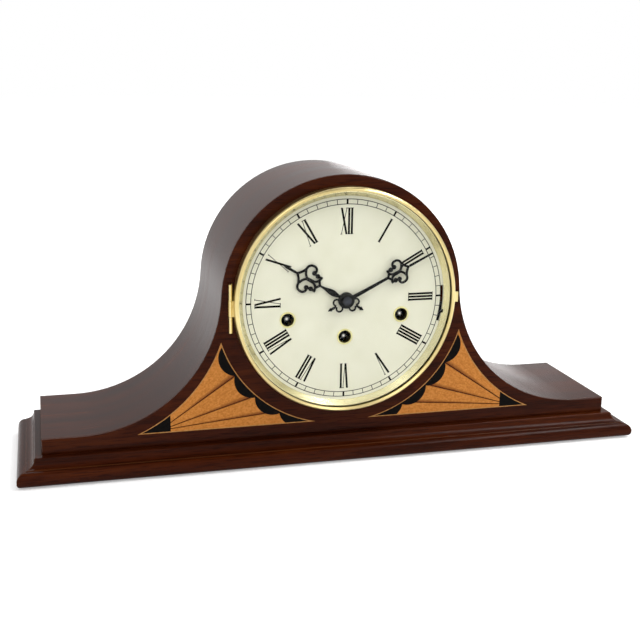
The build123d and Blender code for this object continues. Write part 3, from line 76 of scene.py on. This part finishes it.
def new_material(name):
    """Empty node material: its tree and its principled shader, already on the output."""
    material = bpy.data.materials.new(name)
    material.use_nodes = True
    tree = material.node_tree
    tree.nodes.clear()
    shader = add(tree, "ShaderNodeBsdfPrincipled")
    add(tree, "ShaderNodeOutputMaterial", links={"Surface": shader.outputs["BSDF"]})
    return material, tree, shader


def set_stops(ramp, stops):
    """Colour stops of a ramp node: (position, hex colour)."""
    elements = ramp.color_ramp.elements
    while len(elements) < len(stops):
        elements.new(1.0)
    for element, (position, colour) in zip(elements, stops):
        element.position = position
        element.color = linear(colour)


def stained_mahogany(name, along):
    """Mahogany, planed, stained dark red-brown and lacquered satin.

    The eye sees a nearly black red-brown with broad streaks along the grain, short dark pores,
    a grey sheen where a surface is seen at a low angle, and edges painted paler: partly rubbing,
    partly a painted highlight along the arris. The grain runs along the axes given."""
    streak_length, streak_width = 150.0, 9.0
    # Pores are 0.2 mm wide, and are drawn 0.9 mm wide so that they show
    pore_length, pore_width, pore_depth = 16.0, 0.9, 0.08
    edge_radius = 1.2
    material, tree, shader = new_material(name)
    place = add(tree, "ShaderNodeTexCoord")
    streak_place = add(
        tree, "ShaderNodeMapping",
        {"Scale": [per_metre(streak_length if axis in along else streak_width) for axis in "xyz"]},
        {"Vector": place.outputs["Object"]},
    )
    pore_place = add(
        tree, "ShaderNodeMapping",
        {"Scale": [per_metre(pore_length if axis in along else pore_width) for axis in "xyz"]},
        {"Vector": place.outputs["Object"]},
    )
    streaks = add(
        tree, "ShaderNodeTexNoise",
        {"Scale": 1.0, "Detail": 5.0, "Roughness": 0.6, "Distortion": 0.4},
        {"Vector": streak_place.outputs["Vector"]},
    )
    pores = add(
        tree, "ShaderNodeTexNoise", {"Scale": 1.0, "Detail": 2.0},
        {"Vector": pore_place.outputs["Vector"]},
    )
    stain = add(tree, "ShaderNodeValToRGB", links={"Fac": streaks.outputs["Fac"]})
    set_stops(stain, [(0.30, "#2b0d03"), (0.50, "#3b1505"), (0.70, "#4c2008")])
    pore_dark = add(tree, "ShaderNodeValToRGB", links={"Fac": pores.outputs["Fac"]})
    set_stops(pore_dark, [(0.34, "#b09484"), (0.48, "#ffffff")])
    grained = add(
        tree, "ShaderNodeMixRGB", {"Fac": 0.8},
        {"Color1": stain.outputs["Color"], "Color2": pore_dark.outputs["Color"]},
        blend_type="MULTIPLY",
    )
    # Where the rounded normal leaves the flat one, an edge is near
    rounded = add(tree, "ShaderNodeBevel", {"Radius": edge_radius * MM}, samples=4)
    surface = add(tree, "ShaderNodeNewGeometry")
    facing = add(
        tree, "ShaderNodeVectorMath",
        links={0: rounded.outputs["Normal"], 1: surface.outputs["Normal"]},
        operation="DOT_PRODUCT",
    )
    # How much paler each edge is painted: partly rubbing, partly a painted highlight along the
    # arris
    rubbed_and_highlit_edges = add(
        tree, "ShaderNodeMapRange",
        {"From Min": 0.80, "From Max": 0.99, "To Min": 0.45, "To Max": 0.0},
        {"Value": facing.outputs["Value"]},
    )
    # Pale mahogany mixed in near the edges: partly rubbing, partly a painted highlight along the
    # arris
    worn_and_highlit = add(
        tree, "ShaderNodeMixRGB", {"Color2": linear("#70401f")},
        {"Fac": rubbed_and_highlit_edges.outputs["Result"], "Color1": grained.outputs["Color"]},
    )
    tree.links.new(worn_and_highlit.outputs["Color"], shader.inputs["Base Color"])
    gloss = add(
        tree, "ShaderNodeMapRange", {"To Min": 0.20, "To Max": 0.30},
        {"Value": streaks.outputs["Fac"]},
    )
    tree.links.new(gloss.outputs["Result"], shader.inputs["Roughness"])
    bump = add(
        tree, "ShaderNodeBump", {"Strength": 0.06, "Distance": pore_depth * MM},
        {"Height": pores.outputs["Fac"], "Normal": rounded.outputs["Normal"]},
    )
    tree.links.new(bump.outputs["Normal"], shader.inputs["Normal"])
    shader.inputs["Specular IOR Level"].default_value = 0.06
    return material


def scorched_satinwood():
    """Satinwood veneer cut in flutes and shaded in hot sand, under satin lacquer.

    The eye sees warm tan flutes with a fine speckled grain that runs to the fan's focus, each
    one browned along its lower edge."""
    # The grain is 1 mm wide across a flute, measured 50 mm from the focus
    grain_width, grain_reach, grain_length = 1.0, 50.0, 6.0
    fleck_size = 1.4
    # The rays lie 5.3, 16.8 and 34.3 degrees above the fan's foot, on a ramp that spans 50 degrees
    ramp_span = radians(50)
    unscorched, scorched = "#ffffff", "#7e5335"
    material, tree, shader = new_material("satinwood_veneer")
    place = add(tree, "ShaderNodeTexCoord")
    parts = add(tree, "ShaderNodeSeparateXYZ", links={"Vector": place.outputs["Object"]})
    side = add(tree, "ShaderNodeMath", links={0: parts.outputs["X"]}, operation="ABSOLUTE")
    inward = add(
        tree, "ShaderNodeMath", {0: FOCUS_X * MM}, {1: side.outputs["Value"]},
        operation="SUBTRACT",
    )
    rise = add(
        tree, "ShaderNodeMath", {1: FOCUS_Z * MM}, {0: parts.outputs["Z"]}, operation="SUBTRACT",
    )
    angle = add(
        tree, "ShaderNodeMath", links={0: rise.outputs["Value"], 1: inward.outputs["Value"]},
        operation="ARCTAN2",
    )
    flat_place = add(
        tree, "ShaderNodeCombineXYZ",
        links={"X": inward.outputs["Value"], "Y": rise.outputs["Value"]},
    )
    reach = add(
        tree, "ShaderNodeVectorMath", links={0: flat_place.outputs["Vector"]}, operation="LENGTH",
    )
    ray_place = add(
        tree, "ShaderNodeCombineXYZ",
        links={"X": angle.outputs["Value"], "Y": reach.outputs["Value"]},
    )
    grain_place = add(
        tree, "ShaderNodeMapping",
        {"Scale": (grain_reach / grain_width, per_metre(grain_length), 1.0)},
        {"Vector": ray_place.outputs["Vector"]},
    )
    grain = add(
        tree, "ShaderNodeTexNoise", {"Scale": 1.0, "Detail": 4.0, "Roughness": 0.6},
        {"Vector": grain_place.outputs["Vector"]},
    )
    fleck_place = add(
        tree, "ShaderNodeMapping", {"Scale": [per_metre(fleck_size)] * 3},
        {"Vector": place.outputs["Object"]},
    )
    flecks = add(
        tree, "ShaderNodeTexNoise", {"Scale": 1.0, "Detail": 1.0},
        {"Vector": fleck_place.outputs["Vector"]},
    )
    both = add(
        tree, "ShaderNodeMath", links={0: grain.outputs["Fac"], 1: flecks.outputs["Fac"]},
        operation="ADD",
    )
    mean = add(tree, "ShaderNodeMath", {1: 0.5}, {0: both.outputs["Value"]}, operation="MULTIPLY")
    tan = add(tree, "ShaderNodeValToRGB", links={"Fac": mean.outputs["Value"]})
    set_stops(tan, [(0.38, "#bd7430"), (0.5, "#cb8138"), (0.62, "#d68d43")])
    turn = add(
        tree, "ShaderNodeMapRange", {"From Max": ramp_span}, {"Value": angle.outputs["Value"]},
    )
    scorch = add(tree, "ShaderNodeValToRGB", links={"Fac": turn.outputs["Result"]})
    set_stops(scorch, [
        (0.095, unscorched), (0.105, scorched), (0.150, unscorched),
        (0.322, unscorched), (0.336, scorched), (0.400, unscorched),
        (0.668, unscorched), (0.686, scorched), (0.760, unscorched),
    ])
    colour = add(
        tree, "ShaderNodeMixRGB", {"Fac": 1.0},
        {"Color1": tan.outputs["Color"], "Color2": scorch.outputs["Color"]},
        blend_type="MULTIPLY",
    )
    tree.links.new(colour.outputs["Color"], shader.inputs["Base Color"])
    shader.inputs["Roughness"].default_value = 0.38
    shader.inputs["Specular IOR Level"].default_value = 0.12
    return material


def mottled(name, low, high, mottle_mm, detail):
    """Material that drifts between two close tones, with the pattern that it drifts by."""
    material, tree, shader = new_material(name)
    place = add(tree, "ShaderNodeTexCoord")
    mottle = add(
        tree, "ShaderNodeTexNoise", {"Scale": per_metre(mottle_mm), "Detail": detail},
        {"Vector": place.outputs["Object"]},
    )
    tone = add(tree, "ShaderNodeValToRGB", links={"Fac": mottle.outputs["Fac"]})
    set_stops(tone, [(0.3, low), (0.7, high)])
    tree.links.new(tone.outputs["Color"], shader.inputs["Base Color"])
    return material, tree, shader, mottle


def narrow_veneer(name, low, high, fleck_mm, roughness):
    """Narrow veneer under satin lacquer: a fine speckle."""
    material, _, shader, _ = mottled(name, low, high, fleck_mm, detail=3.0)
    shader.inputs["Roughness"].default_value = roughness
    shader.inputs["Specular IOR Level"].default_value = 0.04
    return material


def metal(name, low, high, roughness, spread, cloud_mm):
    """Metal with a faint cloud in its tone and polish, so that it isn't one even mirror."""
    material, tree, shader, cloud = mottled(name, low, high, cloud_mm, detail=3.0)
    polish = add(
        tree, "ShaderNodeMapRange", {"To Min": roughness - spread, "To Max": roughness + spread},
        {"Value": cloud.outputs["Fac"]},
    )
    tree.links.new(polish.outputs["Result"], shader.inputs["Roughness"])
    shader.inputs["Metallic"].default_value = 1.0
    return material


def blued_square():
    """Winding arbor of drawn steel, blued nearly black, its square's end worn bright by the key.

    The eye sees a black hole with a small pale glint in its middle, painted as a pale spot in the
    middle of each square's end that fades out to the blued black."""
    # Reach of the painted glint from each arbor's axis, in millimetres
    glint_radius = 2.0
    material, tree, shader = new_material("blued_steel_with_painted_glint")
    place = add(tree, "ShaderNodeTexCoord")
    face_on = add(
        tree, "ShaderNodeVectorMath", {1: (1.0, 0.0, 1.0)}, {0: place.outputs["Object"]},
        operation="MULTIPLY",
    )
    nearest = None
    for x, z in WINDING_PLACES:
        away = add(
            tree, "ShaderNodeVectorMath", {1: (x * MM, 0.0, z * MM)},
            {0: face_on.outputs["Vector"]}, operation="DISTANCE",
        ).outputs["Value"]
        if nearest is not None:
            away = add(
                tree, "ShaderNodeMath", links={0: nearest, 1: away}, operation="MINIMUM",
            ).outputs["Value"]
        nearest = away
    worn_and_highlit = add(tree, "ShaderNodeMapRange", {"From Max": glint_radius * MM}, {"Value": nearest})
    tone = add(tree, "ShaderNodeValToRGB", links={"Fac": worn_and_highlit.outputs["Result"]})
    # Painted glint: pale in the middle of each square's end, fading out to the blued black
    set_stops(tone, [(0.25, "#d2cdc6"), (0.60, "#5a5856"), (1.0, "#0e0f12")])
    tree.links.new(tone.outputs["Color"], shader.inputs["Base Color"])
    shader.inputs["Metallic"].default_value = 1.0
    shader.inputs["Roughness"].default_value = 0.32
    return material


def paint(name, low, high, roughness, grain_mm, specular):
    """Paint, ink, plastic or felt with a faint mottle."""
    material, _, shader, _ = mottled(name, low, high, grain_mm, detail=4.0)
    shader.inputs["Roughness"].default_value = roughness
    shader.inputs["Specular IOR Level"].default_value = specular
    return material


def clear_glass():
    """Soda-lime glass, sagged to a dome and clean: clear, with light passing to the dial.

    Such glass has an IOR of 1.52, lowered here so that reflections don't veil the dial."""
    material, tree, shader = new_material("soda_lime_glass")
    shader.inputs["Base Color"].default_value = linear("#fbfdfb")
    shader.inputs["Roughness"].default_value = 0.0
    shader.inputs["IOR"].default_value = 1.10
    shader.inputs["Transmission Weight"].default_value = 1.0
    shader.inputs["Specular IOR Level"].default_value = 0.2
    clear = add(tree, "ShaderNodeBsdfTransparent")
    path = add(tree, "ShaderNodeLightPath")
    passed = add(
        tree, "ShaderNodeMixShader",
        links={
            "Fac": path.outputs["Is Shadow Ray"],
            1: shader.outputs["BSDF"],
            2: clear.outputs["BSDF"],
        },
    )
    output = next(n for n in tree.nodes if n.bl_idname == "ShaderNodeOutputMaterial")
    tree.links.new(passed.outputs["Shader"], output.inputs["Surface"])
    return material


def studio_paper():
    """White paper, matt: a pale even floor that keeps the clock's shadow.

    The camera, polish and glass see it lifted to white. The lift gives no light to matt
    surfaces, nor to the dial through its glass."""
    # The lift grows between these distances from the clock's middle, in metres
    near, far = 0.3, 1.0
    near_lift, far_lift = 0.35, 0.5
    material, tree, shader = new_material("white_studio_paper")
    shader.inputs["Base Color"].default_value = linear("#f4f4f4")
    shader.inputs["Roughness"].default_value = 0.9
    shader.inputs["Specular IOR Level"].default_value = 0.0
    path = add(tree, "ShaderNodeLightPath")
    mirrored = add(
        tree, "ShaderNodeMath",
        links={0: path.outputs["Is Glossy Ray"], 1: path.outputs["Is Transmission Ray"]},
        operation="MAXIMUM",
    )
    seen = add(
        tree, "ShaderNodeMath",
        links={0: path.outputs["Is Camera Ray"], 1: mirrored.outputs["Value"]},
        operation="MAXIMUM",
    )
    no_matt_bounce = add(
        tree, "ShaderNodeMath", {1: 0.5}, {0: path.outputs["Diffuse Depth"]},
        operation="LESS_THAN",
    )
    shown = add(
        tree, "ShaderNodeMath",
        links={0: seen.outputs["Value"], 1: no_matt_bounce.outputs["Value"]},
        operation="MULTIPLY",
    )
    place = add(tree, "ShaderNodeTexCoord")
    from_clock = add(
        tree, "ShaderNodeVectorMath", links={0: place.outputs["Object"]}, operation="LENGTH",
    )
    whitening = add(
        tree, "ShaderNodeMapRange",
        {"From Min": near, "From Max": far, "To Min": near_lift, "To Max": far_lift},
        {"Value": from_clock.outputs["Value"]},
    )
    lift = add(
        tree, "ShaderNodeMath",
        links={0: whitening.outputs["Result"], 1: shown.outputs["Value"]}, operation="MULTIPLY",
    )
    shader.inputs["Emission Color"].default_value = WHITE
    tree.links.new(lift.outputs["Value"], shader.inputs["Emission Strength"])
    return material


mahogany = stained_mahogany("stained_mahogany", along="x")
mahogany_ends = stained_mahogany("stained_mahogany_ends", along="y")
mahogany_bent = stained_mahogany("stained_mahogany_bent", along="xz")
satinwood = scorched_satinwood()
# Ebony, sawn thin: black with a faint brown speckle
ebony = narrow_veneer("ebony_veneer", "#060505", "#120e0c", 1.5, 0.34)
# Boxwood, sawn in narrow strips: a straw-brown line with little grain
boxwood = narrow_veneer("boxwood_stringing", "#ae7740", "#c8935a", 2.0, 0.38)
# Brass, spun, under a satin lacquer: pale gold that mirrors the room through a faint haze
brass = metal("polished_brass", "#dac687", "#e4d196", 0.30, 0.04, 45.0)
# Brass of the reflector ring, polished under clear lacquer: paler, and it takes up the dial's ivory
pale_brass = metal("pale_lacquered_brass", "#e6dcb2", "#eee5c0", 0.26, 0.03, 45.0)
# Brass of the movement, rolled and milled: a deeper and duller yellow
movement_brass = metal("milled_brass", "#cba95d", "#d6b66c", 0.32, 0.03, 8.0)
# Brass of the eyelets, pressed thin, under matt lacquer: a pale ring without a mirror
eyelet_brass = metal("lacquered_eyelet_brass", "#d2c88c", "#dfd69e", 0.42, 0.04, 6.0)
# Steel of pins, screws and brackets, drawn and turned: a cool even grey
steel = metal("bright_steel", "#a2a2a4", "#aeaeb0", 0.30, 0.02, 6.0)
# Steel of the slider, blued in the fire: nearly black, with a dull shine
blued_steel = metal("blued_steel", "#121318", "#24262d", 0.30, 0.06, 5.0)
# Winding arbors: blued steel with a painted glint on each square's end
winding_steel = blued_square()
# Nickel plate of the hand nut, dark and polished: a grey-black button with a clear shine
dark_nickel = metal("dark_nickel_plate", "#303138", "#484950", 0.20, 0.03, 4.0)
# Ivory paint, sprayed on the dial sheet: even, warm and nearly matt
ivory = paint("ivory_dial_paint", "#e1ddc9", "#e7e3d1", 0.55, 14.0, 0.15)
# Ink, printed through a screen: flat black without gloss
black_print = paint("black_dial_ink", "#0b0a08", "#161411", 0.6, 3.0, 0.05)
# Enamel, stoved on the punched hands: deep black with a slight gloss
black_hands = paint("black_enamelled_hands", "#060606", "#0e0e0e", 0.34, 5.0, 0.15)
# ABS, moulded, of the door's magnet: dull black
black_plastic = paint("black_moulded_plastic", "#141414", "#1f1f1f", 0.55, 2.0, 0.3)
# Wool felt, pressed: dark green and mottled, without gloss
green_felt = paint("green_wool_felt", "#1c2a1b", "#2b3d28", 0.95, 1.2, 0.1)
glass = clear_glass()

# Finish of each material slot of the record, and of the pieces that differ from their slot
SLOT_FINISH = {
    "mahogany": mahogany, "satinwood": satinwood, "ebony": ebony, "stringing": boxwood,
    "brass": brass, "dial_enamel": ivory, "hand_black": black_hands, "steel": steel,
    "magnet_black": black_plastic, "felt": green_felt, "glass": glass,
}
MOVEMENT = (
    "front_plate", "back_plate", "pillars", "time_barrel", "strike_barrel", "chime_barrel",
    "centre_wheel", "third_wheel", "escape_wheel", "balance_wheel", "minute_wheel", "hour_wheel",
    "cannon_pinion", "chime_drum", "chime_rods", "hammer_1", "hammer_2", "hammer_3", "hammer_4",
)
WINDING = ("time_winding_arbor", "strike_winding_arbor", "chime_winding_arbor")
OWN_FINISH = {
    "base_moulding_left": mahogany_ends, "base_moulding_right": mahogany_ends,
    "top_wrap": mahogany_bent, "silent_slider": blued_steel, "reflector_ring": pale_brass,
    "winding_eyelets": eyelet_brass, "hand_nut": dark_nickel,
    **dict.fromkeys(MOVEMENT, movement_brass), **dict.fromkeys(WINDING, winding_steel),
}
slot_of = {row["node"]: row["material_slot"] for row in frame["record"]["subparts"]}

for name, piece in frame["nodes"].items():
    piece.data.materials.clear()
    piece.data.materials.append(OWN_FINISH.get(name, SLOT_FINISH[slot_of[name]]))


def mesh_object(name, points, faces, finish):
    """New object in the scene from points in metres and faces, with its finish."""
    mesh = bpy.data.meshes.new(name)
    mesh.from_pydata(points, [], faces)
    mesh.update()
    mesh.materials.append(finish)
    made = bpy.data.objects.new(name, mesh)
    bpy.context.scene.collection.objects.link(made)
    return made


# Dial printing: minute track and Roman numerals, a film of ink just in front of the dial's face
PRINT_Y = DIAL_FACE_Y - 0.05
# Degrees from one hour to the next, and from one minute to the next
HOUR_TURN = 30
MINUTE_TURN = 6
TRACK_INNER = 73.2
TRACK_OUTER = 76.9
TRACK_LINE = 0.55
TRACK_STEPS = 240
MINUTE_TICK = 0.52
HOUR_TICK = 1.45
NUMERAL_INNER = 50.4
NUMERAL_OUTER = 70.4
STROKE = 1.6
HAIRLINE = 0.50
SERIF = 1.5
V_SPREAD = 3.3
X_SPREAD = 4.0
LETTER_WIDTH = {"I": 2.3, "V": 4.6, "X": 5.3}
NUMERALS = ["XII", "I", "II", "III", "IIII", "V", "VI", "VII", "VIII", "IX", "X", "XI"]

print_points = []
print_faces = []


def ink(corners):
    """Add one inked shape, given as (x, z) from the dial's centre in millimetres, clockwise."""
    start = len(print_points)
    print_points.extend((x * MM, PRINT_Y * MM, (DIAL_Z + z) * MM) for x, z in corners)
    print_faces.append(range(start, start + len(corners)))


def on_dial(across, out, dial_angle):
    """Dial place of a point drawn upright at 12 o'clock, turned to an angle clockwise."""
    turn = radians(dial_angle)
    return across * cos(turn) + out * sin(turn), out * cos(turn) - across * sin(turn)


def stroke(low, high, width, dial_angle):
    """Stroke with level ends between two (across, out) points."""
    (low_x, low_out), (high_x, high_out) = low, high
    half = width / 2
    shape = [
        (low_x - half, low_out), (high_x - half, high_out),
        (high_x + half, high_out), (low_x + half, low_out),
    ]
    ink([on_dial(across, out, dial_angle) for across, out in shape])


def serif(across, out, dial_angle, width=SERIF):
    """Hairline foot across the end of a stroke."""
    stroke((across, out - HAIRLINE / 2), (across, out + HAIRLINE / 2), width, dial_angle)


def letter(kind, middle, dial_angle):
    """One letter of a numeral, its middle at a distance across."""
    low, high = NUMERAL_INNER, NUMERAL_OUTER
    if kind == "I":
        stroke((middle, low), (middle, high), STROKE, dial_angle)
        for out in (low + HAIRLINE / 2, high - HAIRLINE / 2):
            serif(middle, out, dial_angle, LETTER_WIDTH["I"])
        return
    if kind == "V":
        left, right = middle - V_SPREAD / 2, middle + V_SPREAD / 2
        stroke((middle, low), (left, high), STROKE, dial_angle)
        stroke((middle + STROKE / 4, low), (right, high), HAIRLINE, dial_angle)
    else:
        left, right = middle - X_SPREAD / 2, middle + X_SPREAD / 2
        stroke((right, low), (left, high), STROKE, dial_angle)
        stroke((left, low), (right, high), HAIRLINE, dial_angle)
        serif(left, low + HAIRLINE / 2, dial_angle)
    serif(right, high - HAIRLINE / 2, dial_angle)


for hour, numeral in enumerate(NUMERALS):
    edge = -sum(LETTER_WIDTH[kind] for kind in numeral) / 2
    for kind in numeral:
        letter(kind, edge + LETTER_WIDTH[kind] / 2, HOUR_TURN * hour)
        edge += LETTER_WIDTH[kind]

for minute in range(60):
    tick = MINUTE_TICK if minute % 5 else HOUR_TICK
    stroke((0, TRACK_INNER), (0, TRACK_OUTER), tick, MINUTE_TURN * minute)

for circle in (TRACK_INNER, TRACK_OUTER):
    inner, outer = circle - TRACK_LINE / 2, circle + TRACK_LINE / 2
    for step in range(TRACK_STEPS):
        start, end = 360 * step / TRACK_STEPS, 360 * (step + 1) / TRACK_STEPS
        arc = [(inner, start), (outer, start), (outer, end), (inner, end)]
        ink([on_dial(0, out, dial_angle) for out, dial_angle in arc])

dial_printing = mesh_object("dial_printing", print_points, print_faces, black_print)
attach(dial_printing, "case")

# Slotted screws in the leaves of the back door's hinges
LEAF_FACE_Y = FRONT_Y + 104.5
HINGE_X = -60.3
HINGE_HEIGHTS = (DIAL_Z - 60.0, DIAL_Z - 12.0)
LEAF_MIDDLE = 7.1
SCREW_SPREAD = 7.5
SCREW_RADIUS = 2.0
SCREW_HEAD = 0.3
SCREW_PROUD = 0.6
SCREW_SIDES = 32
SLOT_HALF = 0.3
# Slots stand where the driver left them: the first one's turn and the step to the next, in degrees
FIRST_SLOT = 35
NEXT_SLOT = 50


def prism(points, faces, outline, near, far):
    """Add a closed prism along y to a mesh's lists, from an outline of (x, z) places."""
    start, count = len(points), len(outline)
    points.extend((x * MM, y * MM, z * MM) for y in (near, far) for x, z in outline)
    faces.append(range(start, start + count))
    faces.append(range(start + 2 * count - 1, start + count - 1, -1))
    for side in range(count):
        after = (side + 1) % count
        faces.append((start + after, start + side, start + count + side, start + count + after))


def screw_edge(x, z, turn):
    """Place on the edge of a screw's head, from its middle and a turn in radians."""
    return x + SCREW_RADIUS * cos(turn), z + SCREW_RADIUS * sin(turn)


def hinge_screws(name, side, body):
    """The screws of one leaf of each hinge, as one piece that rides with a body."""
    points, faces = [], []
    x = HINGE_X + side * LEAF_MIDDLE
    heights = [z + rise for z in HINGE_HEIGHTS for rise in (-SCREW_SPREAD, SCREW_SPREAD)]
    lip = asin(SLOT_HALF / SCREW_RADIUS)
    slot_foot = LEAF_FACE_Y + SCREW_HEAD
    for number, z in enumerate(heights):
        turns = [radians(360 * step / SCREW_SIDES) for step in range(SCREW_SIDES)]
        rim = [screw_edge(x, z, turn) for turn in turns]
        prism(points, faces, rim, LEAF_FACE_Y, slot_foot)
        slot_turn = radians(FIRST_SLOT + NEXT_SLOT * number)
        for half in (slot_turn, slot_turn + pi):
            turns = [
                half + lip + (pi - 2 * lip) * step / SCREW_SIDES for step in range(SCREW_SIDES + 1)
            ]
            cheek = [screw_edge(x, z, turn) for turn in turns]
            prism(points, faces, cheek, slot_foot, LEAF_FACE_Y + SCREW_PROUD)
    made = mesh_object(name, points, faces, brass)
    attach(made, body)


hinge_screws("fixed_leaf_screws", -1, "case")
hinge_screws("moving_leaf_screws", 1, "back_door")

# Floor: half its side in metres
FLOOR_HALF = 6.0
floor_corners = [
    (x * FLOOR_HALF, y * FLOOR_HALF, 0) for x, y in ((-1, -1), (1, -1), (1, 1), (-1, 1))
]
floor = mesh_object("floor", floor_corners, [(0, 1, 2, 3)], studio_paper())

# Room: white to the camera and through glass, and an even pale light on matt surfaces. Polish and
# metal show its walls white too, under a ceiling that dims overhead.
SEEN_LEVEL = 1.0
MATT_LEVEL = 0.55
CEILING_LEVEL = 0.30
# Height of a direction, as its sine, where the ceiling starts to dim and where it is dimmest
CEILING_START, CEILING_END = 0.45, 0.90

world = bpy.data.worlds.new("studio_room")
bpy.context.scene.world = world
world.use_nodes = True
room = world.node_tree
room.nodes.clear()
path = add(room, "ShaderNodeLightPath")
seen = add(
    room, "ShaderNodeMath",
    links={0: path.outputs["Is Camera Ray"], 1: path.outputs["Is Transmission Ray"]},
    operation="MAXIMUM",
)
toward = add(room, "ShaderNodeTexCoord")
direction = add(room, "ShaderNodeSeparateXYZ", links={"Vector": toward.outputs["Generated"]})
mirrored = add(
    room, "ShaderNodeMapRange",
    {
        "From Min": CEILING_START, "From Max": CEILING_END,
        "To Min": SEEN_LEVEL, "To Max": CEILING_LEVEL,
    },
    {"Value": direction.outputs["Z"]},
)
unseen = add(
    room, "ShaderNodeMix", {"A": MATT_LEVEL},
    {"Factor": path.outputs["Is Glossy Ray"], "B": mirrored.outputs["Result"]},
)
level = add(
    room, "ShaderNodeMix", {"B": SEEN_LEVEL},
    {"Factor": seen.outputs["Value"], "A": unseen.outputs["Result"]},
)
walls = add(
    room, "ShaderNodeBackground", {"Color": WHITE}, {"Strength": level.outputs["Result"]},
)
add(room, "ShaderNodeOutputWorld", links={"Surface": walls.outputs["Background"]})


def soft_box(name, place, aim, width, depth, watts):
    """Rectangular studio lamp that faces a point, in metres."""
    lamp = bpy.data.lights.new(name, "AREA")
    lamp.shape = "RECTANGLE"
    lamp.size = width
    lamp.size_y = depth
    lamp.energy = watts
    made = bpy.data.objects.new(name, lamp)
    made.location = place
    made.rotation_mode = "QUATERNION"
    made.rotation_quaternion = (Vector(aim) - Vector(place)).to_track_quat("-Z", "Y")
    bpy.context.scene.collection.objects.link(made)


CLOCK_MIDDLE = (0, 0, 0.1)
RIGHT_FLARE = (0.15, 0, 0.08)

# Large lamp in front on the left: it lights the dial and the front evenly
soft_box("key_soft_box", (-0.9, -1.3, 1.9), CLOCK_MIDDLE, width=1.4, depth=1.4, watts=10.5)
# Long narrow lamp overhead: it draws a thin light along the rounded edges on the right
soft_box("strip_soft_box", (0.9, -0.3, 1.5), CLOCK_MIDDLE, width=1.2, depth=0.14, watts=14)
# Lamp high behind: it lights the crown of the arch
soft_box("back_soft_box", (0.25, 1.1, 1.15), CLOCK_MIDDLE, width=1.2, depth=0.3, watts=6)
# Lamp low behind on the right: it gleams in the hollow of the right flare
soft_box("gleam_soft_box", (0.62, 1.25, 0.16), RIGHT_FLARE, width=0.5, depth=0.26, watts=1.2)

# Camera at the photograph's viewing angle: its place in millimetres, its turns in radians
CAMERA_PLACE = (-220.6, -793.2, 311.2)
CAMERA_YAW = 0.2640
CAMERA_PITCH = -0.2539
CAMERA_ROLL = 0.0159
FOCAL_PIXELS = 1048.0
PICTURE_PIXELS = 640
SENSOR_WIDTH = 36.0

ahead = Vector((
    sin(CAMERA_YAW) * cos(CAMERA_PITCH),
    cos(CAMERA_YAW) * cos(CAMERA_PITCH),
    sin(CAMERA_PITCH),
))
level_right = Vector((cos(CAMERA_YAW), -sin(CAMERA_YAW), 0))
level_up = level_right.cross(ahead)
right = cos(CAMERA_ROLL) * level_right + sin(CAMERA_ROLL) * level_up
up = -sin(CAMERA_ROLL) * level_right + cos(CAMERA_ROLL) * level_up
lens = bpy.data.cameras.new("camera")
lens.sensor_width = SENSOR_WIDTH
lens.lens = FOCAL_PIXELS * SENSOR_WIDTH / PICTURE_PIXELS
camera = bpy.data.objects.new("camera", lens)
camera_turn = Matrix((right, up, -ahead)).transposed().to_4x4()
camera.matrix_world = Matrix.Translation(Vector(CAMERA_PLACE) * MM) @ camera_turn
bpy.context.scene.collection.objects.link(camera)
bpy.context.scene.camera = camera
bpy.context.scene.view_settings.view_transform = "Standard"
